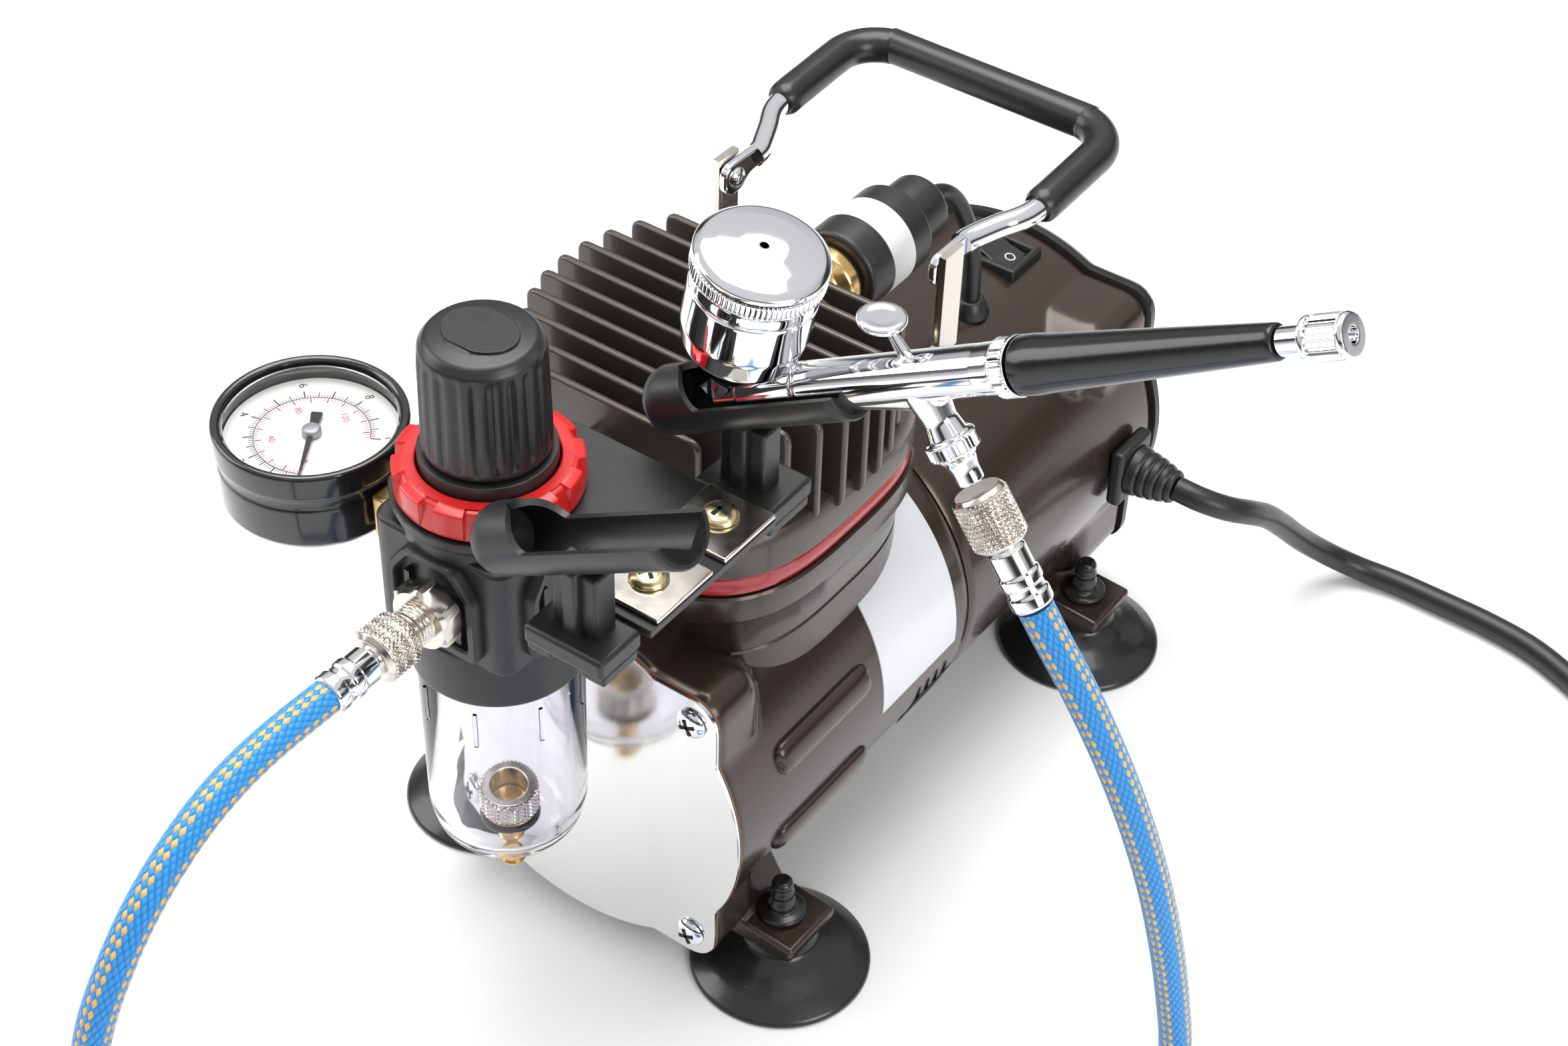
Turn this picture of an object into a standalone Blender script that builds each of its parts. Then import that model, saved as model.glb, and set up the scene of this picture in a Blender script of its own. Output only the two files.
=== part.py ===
"""An airbrush compressor: a piston air pump on a motor, with its regulator, two holders and an airbrush.

X runs to the right of the pump, Y from the regulator to the motor's rear, Z up from the floor. Lengths are
in millimetres and turned into metres by the helpers. The motor's axis runs along Y, over X = 0.
"""

from math import cos, pi, radians, sin, sqrt

import bmesh
import bpy
from mathutils import Matrix, Vector

MM = 0.001

# The middle of the whole object, seen from above, which becomes the origin.
MIDDLE_X, MIDDLE_Y = 46.84, -23.3

# Motor and crankcase
AXIS_Z = 61.0
SHELL_R = 49.5
WALL = 4.0
SQUARE = 43.8
CORNER_R = 7.5
FRONT_Y = -95.3
SEAM_Y = 5.0
REAR_Y = 98.0
FOOT_X, FOOT_Y = 47.6, 73.5
FOOT_R = 23.2

# Pump
PUMP_Y = -42.5
BORE_R = 18.0
DECK_Z = 100.7
STROKE = 12.0
FINS = 10
FIN_STEP = 7.24

# Regulator and gauge
REG_Y = -118.9
GAUGE_X = -52.5
GAUGE_R = 22.1

# Airbrush and its holders
TILT = radians(30.4)
ALONG = Vector((cos(TILT), 0.0, sin(TILT)))
ABOVE = Vector((-sin(TILT), 0.0, cos(TILT)))
BRUSH_Y = -84.5
TIP = Vector((27.5, BRUSH_Y, 179.95))
STEM_TILT = radians(-54.4)
STEM = Vector((cos(STEM_TILT), 0.0, sin(STEM_TILT)))
STEM_TOP = Vector((84.4, BRUSH_Y, 208.4))
CUP_AXIS = Vector((0.2, 0.0, 0.98)).normalized()
CUP_TOP = Vector((44.6, BRUSH_Y, 225.5))
CRADLE_Y = (-140.0, BRUSH_Y)
CRADLE_LENGTH = 57.0

# Carrying handle
HINGE_Y, HINGE_Z = 8.7, 161.5

# Hose and power cord
HOSE_D = 7.7
CORD_D = 7.0
GAP = 0.3

X, Y, Z = Vector((1, 0, 0)), Vector((0, 1, 0)), Vector((0, 0, 1))

for old in list(bpy.data.objects):
    bpy.data.objects.remove(old)

PARTS = bpy.data.collections.new("airbrush_compressor")
TOOLS = bpy.data.collections.new("cutters")
for collection in (PARTS, TOOLS):
    bpy.context.scene.collection.children.link(collection)
TOOLS.hide_render = True


# ---------------------------------------------------------------- helpers

def shown(name, data, matrix=None):
    """Puts an object into the model's collection."""
    obj = bpy.data.objects.new(name, data)
    if matrix is not None:
        obj.matrix_world = matrix
    PARTS.objects.link(obj)
    return obj


def smooth(mesh):
    mesh.shade_smooth()
    mesh.set_sharp_from_angle(angle=radians(35))


def frame_at(at, axis):
    """A matrix that stands local Z along the axis, at a point in millimetres."""
    turn = Vector(axis).to_track_quat("Z", "Y").to_matrix().to_4x4()
    return Matrix.Translation(Vector(at) * MM) @ turn


def box(name, low, high):
    """A box between two corners."""
    low, high = Vector(low), Vector(high)
    bm = bmesh.new()
    bmesh.ops.create_cube(bm, size=1.0)
    bmesh.ops.scale(bm, vec=(high - low) * MM, verts=bm.verts)
    mesh = bpy.data.meshes.new(name)
    bm.to_mesh(mesh)
    bm.free()
    return shown(name, mesh, Matrix.Translation((low + high) / 2 * MM))


def turned(name, profile, at=(0, 0, 0), axis=Z, steps=22, ring=False):
    """A solid turned from (radius, height) points, its outer side first, from the top down."""
    mesh = bpy.data.meshes.new(name)
    edges = [(i, i + 1) for i in range(len(profile) - 1)]
    if ring:
        edges.append((len(profile) - 1, 0))
    mesh.from_pydata([(r * MM, 0, z * MM) for r, z in profile], edges, [])
    obj = shown(name, mesh, frame_at(at, axis))
    screw = obj.modifiers.new("turn", "SCREW")
    screw.steps = steps
    screw.render_steps = steps
    screw.use_merge_vertices = True
    screw.merge_threshold = 0.00001
    screw.use_smooth_shade = True
    return obj


def rod(name, radius, start, end, steps=16):
    """A round bar from one point to another."""
    start, end = Vector(start), Vector(end)
    length = (end - start).length
    profile = [(0, length), (radius, length), (radius, 0), (0, 0)]
    return turned(name, profile, start, end - start, steps)


def curve_object(name, points, closed=False):
    data = bpy.data.curves.new(name, "CURVE")
    spline = data.splines.new("POLY")
    spline.points.add(len(points) - 1)
    for point, place in zip(spline.points, points):
        point.co = (*(Vector(place) * MM), 1)
    spline.use_cyclic_u = closed
    spline.use_smooth = True
    return shown(name, data)


def tube(name, points, radius, resolution=2):
    """A round tube along the points, with closed ends."""
    obj = curve_object(name, points)
    obj.data.dimensions = "3D"
    obj.data.bevel_depth = radius * MM
    obj.data.bevel_resolution = resolution
    obj.data.use_fill_caps = True
    return obj


def meshed(obj):
    """The curve as a mesh object, its caps welded, which a Boolean can take."""
    bpy.context.view_layer.update()
    name, matrix = obj.name, obj.matrix_world.copy()
    graph = bpy.context.evaluated_depsgraph_get()
    mesh = bpy.data.meshes.new_from_object(obj.evaluated_get(graph))
    bpy.data.objects.remove(obj)
    bm = bmesh.new()
    bm.from_mesh(mesh)
    bmesh.ops.remove_doubles(bm, verts=bm.verts, dist=0.000001)
    bmesh.ops.recalc_face_normals(bm, faces=bm.faces)
    bm.to_mesh(mesh)
    bm.free()
    smooth(mesh)
    mesh.name = name
    return shown(name, mesh, matrix)


PLATE_TURNS = {
    "X": Matrix(((0, 0, 1), (1, 0, 0), (0, 1, 0))),
    "Y": Matrix(((1, 0, 0), (0, 0, -1), (0, 1, 0))),
    "Z": Matrix.Identity(3),
}


def plate(name, outline, low, high, through="Z"):
    """A flat outline, in (y, z), (x, z) or (x, y), given a thickness from low to high along one axis."""
    obj = curve_object(name, [(a, b, 0) for a, b in outline], closed=True)
    obj.data.dimensions = "2D"
    obj.data.fill_mode = "BOTH"
    obj.data.extrude = (high - low) / 2 * MM
    middle = Vector([(low + high) / 2 * MM if axis == through else 0 for axis in "XYZ"])
    obj.matrix_world = Matrix.Translation(middle) @ PLATE_TURNS[through].to_4x4()
    return meshed(obj)


def lofted(name, rings):
    """A closed skin through rings of as many points each, with flat ends."""
    count = len(rings[0])
    verts = [Vector(point) * MM for ring in rings for point in ring]
    faces = [tuple(reversed(range(count)))]
    for k in range(len(rings) - 1):
        for i in range(count):
            j = (i + 1) % count
            faces.append((k * count + i, k * count + j, (k + 1) * count + j, (k + 1) * count + i))
    faces.append(tuple(range((len(rings) - 1) * count, len(rings) * count)))
    mesh = bpy.data.meshes.new(name)
    mesh.from_pydata(verts, [], faces)
    bm = bmesh.new()
    bm.from_mesh(mesh)
    bmesh.ops.recalc_face_normals(bm, faces=bm.faces)
    bmesh.ops.triangulate(bm, faces=bm.faces)
    bm.to_mesh(mesh)
    bm.free()
    smooth(mesh)
    return shown(name, mesh)


def combine(obj, others, operation):
    for other in others:
        boolean = obj.modifiers.new(other.name, "BOOLEAN")
        boolean.operation = operation
        boolean.solver = "EXACT"
        boolean.object = other
        PARTS.objects.unlink(other)
        TOOLS.objects.link(other)
        other.name = f"{obj.name}_{other.name}"
        other.hide_render = True
        other.display_type = "WIRE"
    return obj


def join(obj, *others):
    """Adds the other shapes to the object."""
    return combine(obj, others, "UNION")


def cut(obj, *others):
    """Takes the other shapes out of the object."""
    return combine(obj, others, "DIFFERENCE")


def origin_on(obj, place):
    """Moves the object's own origin to a point on its joint's axis, and leaves its shape where it is."""
    bpy.context.view_layer.update()
    shift = obj.matrix_world.inverted() @ (Vector(place) * MM)
    obj.data.transform(Matrix.Translation(-shift))
    obj.matrix_world = obj.matrix_world @ Matrix.Translation(shift)
    return obj


def finish(obj, colour, metallic, roughness, alpha=1.0):
    """Gives the object a material of its own."""
    material = bpy.data.materials.new(obj.name)
    material.use_nodes = True
    shader = material.node_tree.nodes["Principled BSDF"]
    shader.inputs["Base Color"].default_value = (*colour, 1)
    shader.inputs["Metallic"].default_value = metallic
    shader.inputs["Roughness"].default_value = roughness
    shader.inputs["Alpha"].default_value = alpha
    obj.data.materials.append(material)
    return obj


def bronze_paint(obj):
    return finish(obj, (0.055, 0.040, 0.032), 0.35, 0.32)


def black_plastic(obj):
    return finish(obj, (0.012, 0.012, 0.013), 0.0, 0.42)


def black_rubber(obj):
    return finish(obj, (0.010, 0.010, 0.010), 0.0, 0.55)


def nickel(obj):
    return finish(obj, (0.62, 0.58, 0.52), 1.0, 0.25)


def chrome(obj):
    return finish(obj, (0.80, 0.80, 0.82), 1.0, 0.06)


def brass(obj):
    return finish(obj, (0.70, 0.47, 0.16), 1.0, 0.24)


def steel(obj):
    return finish(obj, (0.55, 0.55, 0.56), 1.0, 0.38)


def cast_aluminium(obj):
    return finish(obj, (0.60, 0.60, 0.60), 1.0, 0.5)


# ---------------------------------------------------------------- motor and crankcase shells

QUARTER = (0, 14, 28, 39.5, 45, 50.5, 62, 76)
ANGLES = [radians(a + 90 * quarter) for quarter in range(4) for a in QUARTER]


def square_radius(angle, half, corner):
    """How far a square with round corners reaches at an angle from its middle."""
    u, v = abs(cos(angle)), abs(sin(angle))
    centre = half - corner
    if half * min(u, v) <= centre * max(u, v):
        return half / max(u, v)
    reach = centre * (u + v)
    return reach + sqrt(reach * reach - 2 * centre * centre + corner * corner)


def shell_ring(y, square, inset=0.0, circle=SHELL_R):
    """A section of the housing: a circle, out to which a scaled square's four corners stand."""
    ring = []
    for angle in ANGLES:
        r = max(circle, square * square_radius(angle, SQUARE, CORNER_R)) - inset
        ring.append((r * cos(angle), y, AXIS_Z + r * sin(angle)))
    return ring


def foot_arm(side, end):
    """The cast ear that holds one foot, with the hole its neck is pushed through."""
    outline = [(14, 12.2), (57.5, 12.2), (57.5, 17.6), (41, 17.6), (35, 30), (28, 27)]
    outline = [(side * x, z) for x, z in outline]
    return plate(f"ear_{side}", outline, end * FOOT_Y - 9.5, end * FOOT_Y + 9.5, "Y")


def neck_hole(side, end):
    x, y = side * FOOT_X, end * FOOT_Y
    return rod(f"hole_{side}", 5.0, (x, y, 10), (x, y, 22), 16)


def block_ring(z, scale):
    """A section of the pump's block: a rounded square, 87 mm wide and 90 mm deep."""
    power = 2 / 3.2
    ring = []
    for i in range(36):
        angle = 2 * pi * i / 36
        c, s = cos(angle), sin(angle)
        x = 43.5 * scale * abs(c) ** power * (1 if c > 0 else -1)
        y = 45.0 * scale * abs(s) ** power * (1 if s > 0 else -1)
        ring.append((x, PUMP_Y + y, z))
    return ring


bore_in = SHELL_R - WALL
crankcase = lofted("crankcase_housing", [
    shell_ring(FRONT_Y, 1.0), shell_ring(-82, 1.0), shell_ring(-76, 0.91), shell_ring(-70, 0.8),
    shell_ring(SEAM_Y - GAP, 0.8),
])
join(crankcase, lofted("deck", [block_ring(72, 0.93), block_ring(DECK_Z, 0.93)]))
for side in (-1, 1):
    for rise in (15, -17):
        x, z = 48.6 * side * cos(radians(rise)), AXIS_Z + 48.6 * sin(radians(rise))
        join(crankcase, rod(f"rib_{side}_{rise}", 3.4, (x, -93, z), (x, -44, z), 8))
    join(crankcase, foot_arm(side, -1))
cut(
    crankcase,
    lofted("flat", [block_ring(DECK_Z, 1.02), block_ring(115, 1.02)]),
    rod("chamber", bore_in, (0, FRONT_Y - 1, AXIS_Z), (0, -30, AXIS_Z), 36),
    rod("bearing", 4.5, (0, -31, AXIS_Z), (0, -25, AXIS_Z), 10),
    rod("fan_space", bore_in, (0, -26, AXIS_Z), (0, SEAM_Y + 1, AXIS_Z), 36),
)
for side in (-1, 1):
    cut(crankcase, neck_hole(side, -1))
    for y in (-13, -8, -3):
        low_x, high_x = sorted((side * 38, side * 52))
        cut(crankcase, box(f"vent_{side}_{y}", (low_x, y - 1.2, 30), (high_x, y + 1.2, 57)))
bronze_paint(crankcase)

motor_housing = lofted("motor_housing", [
    shell_ring(SEAM_Y + GAP, 0.8), shell_ring(58, 0.8), shell_ring(66, 0.92), shell_ring(76, 0.99),
    shell_ring(REAR_Y, 1.0),
])
for side in (-1, 1):
    join(motor_housing, foot_arm(side, 1))
ROCKER_X, ROCKER_Y = 5.0, 84.0
cut(
    motor_housing,
    rod("bore", bore_in, (0, 0, AXIS_Z), (0, REAR_Y + 1, AXIS_Z), 34),
    box("rocker_hole", (ROCKER_X - 8.3, ROCKER_Y - 7.8, 95), (ROCKER_X + 8.3, ROCKER_Y + 7.8, 114)),
)
for side in (-1, 1):
    cut(motor_housing, neck_hole(side, 1))
bronze_paint(motor_housing)

rear_cap = lofted("rear_cap", [
    shell_ring(REAR_Y + GAP, 1.0, -0.9), shell_ring(101.2, 1.0, -0.9), shell_ring(104, 1.0, 2.2),
])
finish(rear_cap, (0.015, 0.014, 0.014), 0.2, 0.4)

front_plate = lofted("front_plate", [
    shell_ring(-96.8, 1.0, 0, 50.5), shell_ring(FRONT_Y - GAP, 1.0, 0, 50.5),
])
finish(front_plate, (0.78, 0.77, 0.75), 1.0, 0.08)

FOOT_PROFILE = [
    (0, 29.7), (2.8, 29.7), (3.4, 20), (6, 20), (6, 18), (4.6, 18), (4.6, 11.9), (8.5, 11.6), (9.5, 9),
    (14, 6.5), (FOOT_R, 1.2), (FOOT_R, 0), (20, 0), (8, 2.3), (0, 2.3),
]
for end, place in ((-1, "front"), (1, "rear")):
    for side, hand in ((-1, "left"), (1, "right")):
        foot = turned(f"foot_{place}_{hand}", FOOT_PROFILE, (side * FOOT_X, end * FOOT_Y, 0), Z, 16)
        black_rubber(foot)

# ---------------------------------------------------------------- motor and crank, inside

stator = turned("stator", [(45.0, 50), (45.0, 0), (23, 0), (23, 50)], (0, 25, AXIS_Z), Y, 16, ring=True)
steel(stator)
rotor = rod("rotor_shaft", 4.0, (0, -37, AXIS_Z), (0, 94, AXIS_Z), 10)
join(rotor, rod("core", 22.0, (0, 28, AXIS_Z), (0, 72, AXIS_Z), 16))
steel(rotor)

fan = turned("cooling_fan", [(9, 14), (9, 0), (4.4, 0), (4.4, 14)], (0, -20, AXIS_Z), Y, 10, ring=True)
for i in range(6):
    blade = box(f"blade_{i}", (7.5, -0.9, -6), (37, 0.9, 6))
    turn = Matrix.Rotation(i * pi / 3, 4, "Y") @ Matrix.Translation(X * 22.25 * MM) @ Matrix.Rotation(0.6, 4, "X")
    blade.matrix_world = Matrix.Translation(Vector((0, -13, AXIS_Z)) * MM) @ turn
    join(fan, blade)
black_plastic(fan)

PIN_Z = AXIS_Z - STROKE / 2
crank = turned("crank_disc", [(19, 5), (19, 0), (4.4, 0), (4.4, 5)], (0, -38, AXIS_Z), Y, 16, ring=True)
join(crank, rod("crank_pin", 3.0, (0, -40.2, PIN_Z), (0, -37, PIN_Z), 8))
steel(crank)

rod_eye = turned("connecting_rod", [(9, 5.5), (9, 0), (4, 0), (4, 5.5)], (0, -46.5, PIN_Z), Y, 14, ring=True)
join(
    rod_eye,
    box("shank", (-4, -46.3, PIN_Z + 7), (4, -41.2, 106)),
    turned("piston", [(0, 110), (17.6, 110), (17.6, 104), (0, 104)], (0, PUMP_Y, 0), Z, 20),
)
cast_aluminium(rod_eye)

sleeve = turned("cylinder_sleeve", [
    (20.5, 121), (20.5, 101), (BORE_R, 101), (BORE_R, 121),
], (0, PUMP_Y, 0), Z, 20, ring=True)
steel(sleeve)

# ---------------------------------------------------------------- pump block and head

sleeve_hole = [(0, 135), (21.2, 135), (21.2, 95), (0, 95)]
block = lofted("cylinder_block", [
    block_ring(DECK_Z + GAP, 0.93), block_ring(111, 0.95), block_ring(113.5, 1.0), block_ring(121.2, 1.0),
])
cut(block, turned("hole", sleeve_hole, (0, PUMP_Y, 0), Z, 20))
bronze_paint(block)

gasket = lofted("head_gasket", [block_ring(121.5, 0.985), block_ring(126.7, 0.985)])
cut(gasket, turned("hole", sleeve_hole, (0, PUMP_Y, 0), Z, 20))
finish(gasket, (0.42, 0.012, 0.018), 0.0, 0.35)

head = lofted("cylinder_head", [
    block_ring(127.0, 1.0), block_ring(134.5, 1.0), block_ring(137.5, 0.97),
])
for i in range(FINS):
    y = -79.5 + FIN_STEP * i
    reach = sqrt(44.5 ** 2 - (y - PUMP_Y) ** 2)
    join(head, box(f"fin_{i}", (1 - reach, y - 1, 133), (1 + reach, y + 1, 162.5)))
join(
    head,
    box("web", (-1.5, -80, 132), (0.5, -13, 156)),
    rod("inlet_boss", 7.0, (0, -93.5, 147), (0, -78, 147), 14),
    box("switch_boss", (-8, -16, 131), (15, -8.3, 158)),
)
cut(head, turned("chamber", [(0, 131), (15, 131), (15, 125), (0, 125)], (0, PUMP_Y, 0), Z, 14))
finish(head, (0.085, 0.070, 0.060), 0.4, 0.38)

# ---------------------------------------------------------------- carrying handle

for side, hand in ((-1, "left"), (1, "right")):
    inner, outer = sorted((side * 32, side * 34))
    outline = [(-11, 137.8), (12.7, 137.8), (12.7, 167), (4.7, 167), (4.7, 141), (-11, 141)]
    bracket = plate(f"handle_bracket_{hand}", outline, inner, outer, "X")
    tab_in, tab_out = sorted((side * 25, side * 33))
    join(
        bracket,
        box("tab", (tab_in, -10.9, 137.85), (tab_out, 1.5, 139.8)),
        rod("pin", 2.2, (side * 28.7, HINGE_Y, HINGE_Z), (side * 33, HINGE_Y, HINGE_Z), 10),
    )
    nickel(bracket)


def mirrored(half):
    """A route in full from its left half."""
    return half + [(-x, y, z) for x, y, z in reversed(half)]


def corner_points(centre_x, centre_y, radius, z0, z1, start, end, count):
    """Points round a bend of the handle, rising from z0 to z1."""
    found = []
    for i in range(count):
        part = i / (count - 1)
        angle = radians(start + (end - start) * part)
        x, y = centre_x + radius * cos(angle), centre_y + radius * sin(angle)
        found.append((x, y, z0 + (z1 - z0) * part))
    return found


BEND = corner_points(-26.5, 65.0, 12.0, 165.6, 166.0, 180, 90, 5)
ARM = [(-30.6, 17, 163.0), (-30.9, 20, 163.1), (-34, 27.5, 163.8), (-37.2, 34, 164.3), (-38.3, 40, 164.6)]
bar = meshed(tube("handle_bar", mirrored(ARM + BEND), 3.0))
for side in (-1, 1):
    low_x, high_x = sorted((side * 29.5, side * 31.7))
    flat = [(4, 159.5), (6, 157), (11, 157), (14, 159.8), (23, 160.6), (23, 165.6), (12, 166), (6, 166), (4, 164)]
    join(bar, plate(f"flat_{side}", flat, low_x, high_x, "X"))
for side in (-1, 1):
    ends = sorted((side * 28, side * 36))
    cut(bar, rod(f"hole_{side}", 2.5, (ends[0], HINGE_Y, HINGE_Z), (ends[1], HINGE_Y, HINGE_Z), 10))
origin_on(bar, (0, HINGE_Y, HINGE_Z))
chrome(bar)

GRIP_START = [(-38.2, 39, 164.5), (-38.4, 44, 164.8)]
grip = meshed(tube("handle_grip", mirrored(GRIP_START + BEND), 4.6))
cut(grip, meshed(tube("core", mirrored([(-37.6, 35, 164.35)] + ARM[-1:] + BEND), 3.4)))
origin_on(grip, (0, HINGE_Y, HINGE_Z))
black_rubber(grip)

# ---------------------------------------------------------------- regulator, filter and gauge

PORT_Z = 147.0
regulator = turned("regulator_body", [
    (0, 163.3), (19.4, 163.3), (20, 161), (20, 117.5), (19.1, 117.5), (19.1, 124.3), (0, 124.3),
], (0, REG_Y, 0), Z, 28)
join(regulator, box("cube", (-18.6, REG_Y - 18.6, 131), (18.6, REG_Y + 18.6, 160)))
for name, low, high in (
    ("frame_front", (-12, REG_Y - 21, 134), (12, REG_Y - 15, 159)),
    ("frame_left", (-21, REG_Y - 12, 134), (-15, REG_Y + 12, 159)),
    ("frame_right", (15, REG_Y - 12, 134), (21, REG_Y + 12, 159)),
    ("frame_rear", (-12, REG_Y + 15, 134), (12, REG_Y + 21, 159)),
):
    join(regulator, box(name, low, high))
join(regulator, rod("rear_port", 6.0, (0, REG_Y + 20, PORT_Z), (0, -93.8, PORT_Z), 14))
black_plastic(regulator)

bonnet = turned("regulator_bonnet", [
    (14.9, 176), (14.9, 163.6), (12, 163.6), (12, 168), (3.5, 168), (3.5, 172), (11, 174), (11, 176),
], (0, REG_Y, 0), Z, 22, ring=True)
black_plastic(bonnet)
panel_ring = turned("panel_ring", [
    (20.4, 173), (20.4, 166), (15.3, 166), (15.3, 173),
], (0, REG_Y, 0), Z, 22, ring=True)
finish(panel_ring, (0.62, 0.012, 0.012), 0.0, 0.38)

spindle = turned("adjusting_spindle", [(0, 200), (3, 200), (3, 166), (0, 166)], (0, REG_Y, 0), Z, 10)
steel(spindle)
knob = turned("adjust_knob", [
    (0, 205.8), (12.4, 205.8), (13.5, 205), (13.9, 203), (13.6, 176.5), (12, 176.5), (12, 196), (3.4, 196),
    (3.4, 201), (0, 201),
], (0, REG_Y, 0), Z, 22)
black_plastic(knob)

bowl = turned("filter_bowl", [
    (18.8, 124), (18.5, 72), (17.2, 66), (14, 61.8), (9.5, 60), (3.5, 60), (3.5, 62.6), (8.2, 62.6),
    (12.6, 64.2), (15.2, 67.6), (16.2, 73), (16.6, 124),
], (0, REG_Y, 0), Z, 22, ring=True)
finish(bowl, (0.85, 0.87, 0.88), 0.0, 0.05, 0.3)
element = turned("filter_element", [
    (0, 124), (4, 124), (4, 118), (9.5, 118), (9.5, 92), (0, 92),
], (0, REG_Y, 0), Z, 14)
finish(element, (0.50, 0.36, 0.20), 0.9, 0.6)
drain = turned("drain_valve", [
    (0, 67), (4.4, 67), (4.4, 72.5), (7.0, 72.5), (7.2, 66.5), (6.2, 65.5), (6.2, 63.2), (3.1, 63.2), (3.1, 48),
    (2.2, 46), (0, 46),
], (0, REG_Y, 0), Z, 10)
brass(drain)

OUTLET_X = 2.5
outlet = turned("outlet_fitting", [
    (0, 10.4), (4.6, 10.4), (4.6, 6), (8.2, 6), (8.2, 0), (0, 0),
], (OUTLET_X, REG_Y - 21.3, PORT_Z), -Y, 18)
nickel(outlet)
fitting_a = turned("hose_fitting_a", [
    (0, 23.4), (4.6, 23.4), (4.7, 11.4), (3.4, 10.8), (6.2, 10), (6.2, 0), (0, 0),
], (OUTLET_X, REG_Y - 32.0, PORT_Z), -Y, 18)
nickel(fitting_a)

gauge_fitting = box("gauge_fitting", (-30.0, REG_Y - 6, PORT_Z - 9), (-21.3, REG_Y + 6, PORT_Z + 3))
brass(gauge_fitting)
gauge_case = turned("gauge_case", [
    (0, 151), (19.8, 151), (19.8, 157.5), (GAUGE_R, 157.5), (GAUGE_R, 150.5), (21.6, 150), (21.6, 137),
    (20.6, 136), (0, 136),
], (GAUGE_X, REG_Y, 0), Z, 28)
finish(gauge_case, (0.012, 0.012, 0.012), 0.3, 0.22)
lens = turned("gauge_lens", [(0, 156.4), (19.4, 156.4), (19.4, 155), (0, 155)], (GAUGE_X, REG_Y, 0), Z, 22)
finish(lens, (0.9, 0.92, 0.93), 0.0, 0.03, 0.2)
ZERO = radians(-58)
needle = turned("gauge_needle", [(0, 153.6), (2.2, 153.6), (2.2, 151.4), (0, 151.4)], (GAUGE_X, REG_Y, 0), Z, 10)
pointer = plate("pointer", [(-6, -1.3), (16.5, -0.3), (16.5, 0.3), (-6, 1.3)], 152.1, 152.7)
pointer.matrix_world = Matrix.Translation(Vector((GAUGE_X, REG_Y, 152.4)) * MM) @ Matrix.Rotation(ZERO, 4, "Z")
join(needle, pointer)
black_plastic(needle)

# ---------------------------------------------------------------- holder plate and the two holders

arc = [(21.5 * cos(radians(a)), REG_Y + 21.5 * sin(radians(a))) for a in range(110, 345, 18)]
outline = [(55, -92.3), (2, -92.3)] + arc + [(24, -122), (33, -134.6), (55, -134.6)]
holder_plate = plate("holder_plate", outline, 163.6, 165.6)
cut(holder_plate, rod("hole", 15.4, (0, REG_Y, 160), (0, REG_Y, 170), 32))
black_plastic(holder_plate)

for name, low, high in (("front", -132.5, -114), ("rear", -110, -92.4)):
    clip = box(f"clip_plate_{name}", (38, low, 165.9), (55, high, 167.1))
    nickel(clip)

CRADLE = [(0, CRADLE_LENGTH), (7.7, CRADLE_LENGTH), (7.7, 5.5), (6.2, 2.2), (3.5, 0.5), (0, 0)]
for name, y, base in (("front", CRADLE_Y[0], (-148, -134.9)), ("rear", CRADLE_Y[1], (-92, -76))):
    start = Vector((42.5, y, 188.5)) - ALONG * 29.0
    holder = turned(f"holder_{name}", CRADLE, start, ALONG, 22)
    trim = box("mouth", (-9, 0, 12), (9, 12, CRADLE_LENGTH + 3))
    turn = Matrix((-Y, ABOVE, ALONG)).transposed().to_4x4()
    trim.matrix_world = Matrix.Translation((start + ALONG * 36 + ABOVE * 6.6) * MM) @ turn
    join(
        holder,
        box("post", (36.3, y - 5, 163), (48.7, y + 5, 182.5)),
        box("base", (33, base[0], 158), (53, base[1], 165.3)),
    )
    cut(holder, rod("bore", 6.2, start + ALONG * 7, start + ALONG * 60, 32), trim)
    black_plastic(holder)

# ---------------------------------------------------------------- pressure switch and its cable

SWITCH_X, SWITCH_Z = 3.5, 149.5
switch_base = turned("switch_base", [
    (0, 11.5), (9.2, 11.5), (9.2, 6.5), (6.2, 4.5), (6.2, 0), (0, 0),
], (SWITCH_X, -8, SWITCH_Z), Y, 16)
brass(switch_base)
switch_body = turned("switch_body", [
    (0, 26.2), (11, 26.2), (11.8, 25.2), (11.8, 0), (0, 0),
], (SWITCH_X, 3.8, SWITCH_Z), Y, 22)
black_plastic(switch_body)
switch_cap = turned("switch_cap", [
    (0, 12.7), (7.4, 12.7), (8.6, 11.5), (8.6, 0), (0, 0),
], (SWITCH_X, 30.3, SWITCH_Z), Y, 20)
black_plastic(switch_cap)
CABLE = [
    (3.5, 43.3, 149.5), (3.6, 48, 149.2), (4.2, 53, 147), (5.4, 57, 142.5), (7.2, 59.2, 136), (9, 59.6, 129),
    (10.2, 59.3, 122), (10.6, 59, 115), (10.6, 59, 110.9),
]
black_rubber(tube("switch_cable", CABLE, 2.4, 2))

# ---------------------------------------------------------------- power switch and cord gland

bezel = box("rocker_bezel", (ROCKER_X - 8, ROCKER_Y - 7.5, 104), (ROCKER_X + 8, ROCKER_Y + 7.5, 112.3))
cut(bezel, box("well", (ROCKER_X - 6, ROCKER_Y - 5.3, 106), (ROCKER_X + 6, ROCKER_Y + 5.3, 114)))
black_plastic(bezel)
rocker_outline = [(-5.2, 108), (5.2, 108), (5.2, 110.4), (0, 111.2), (-4.9, 113.4)]
rocker_outline = [(ROCKER_X + x, z) for x, z in rocker_outline]
rocker = plate("power_rocker", rocker_outline, ROCKER_Y - 4.9, ROCKER_Y + 4.9, "Y")
origin_on(rocker, (ROCKER_X, ROCKER_Y, 109.5))
black_plastic(rocker)

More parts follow.
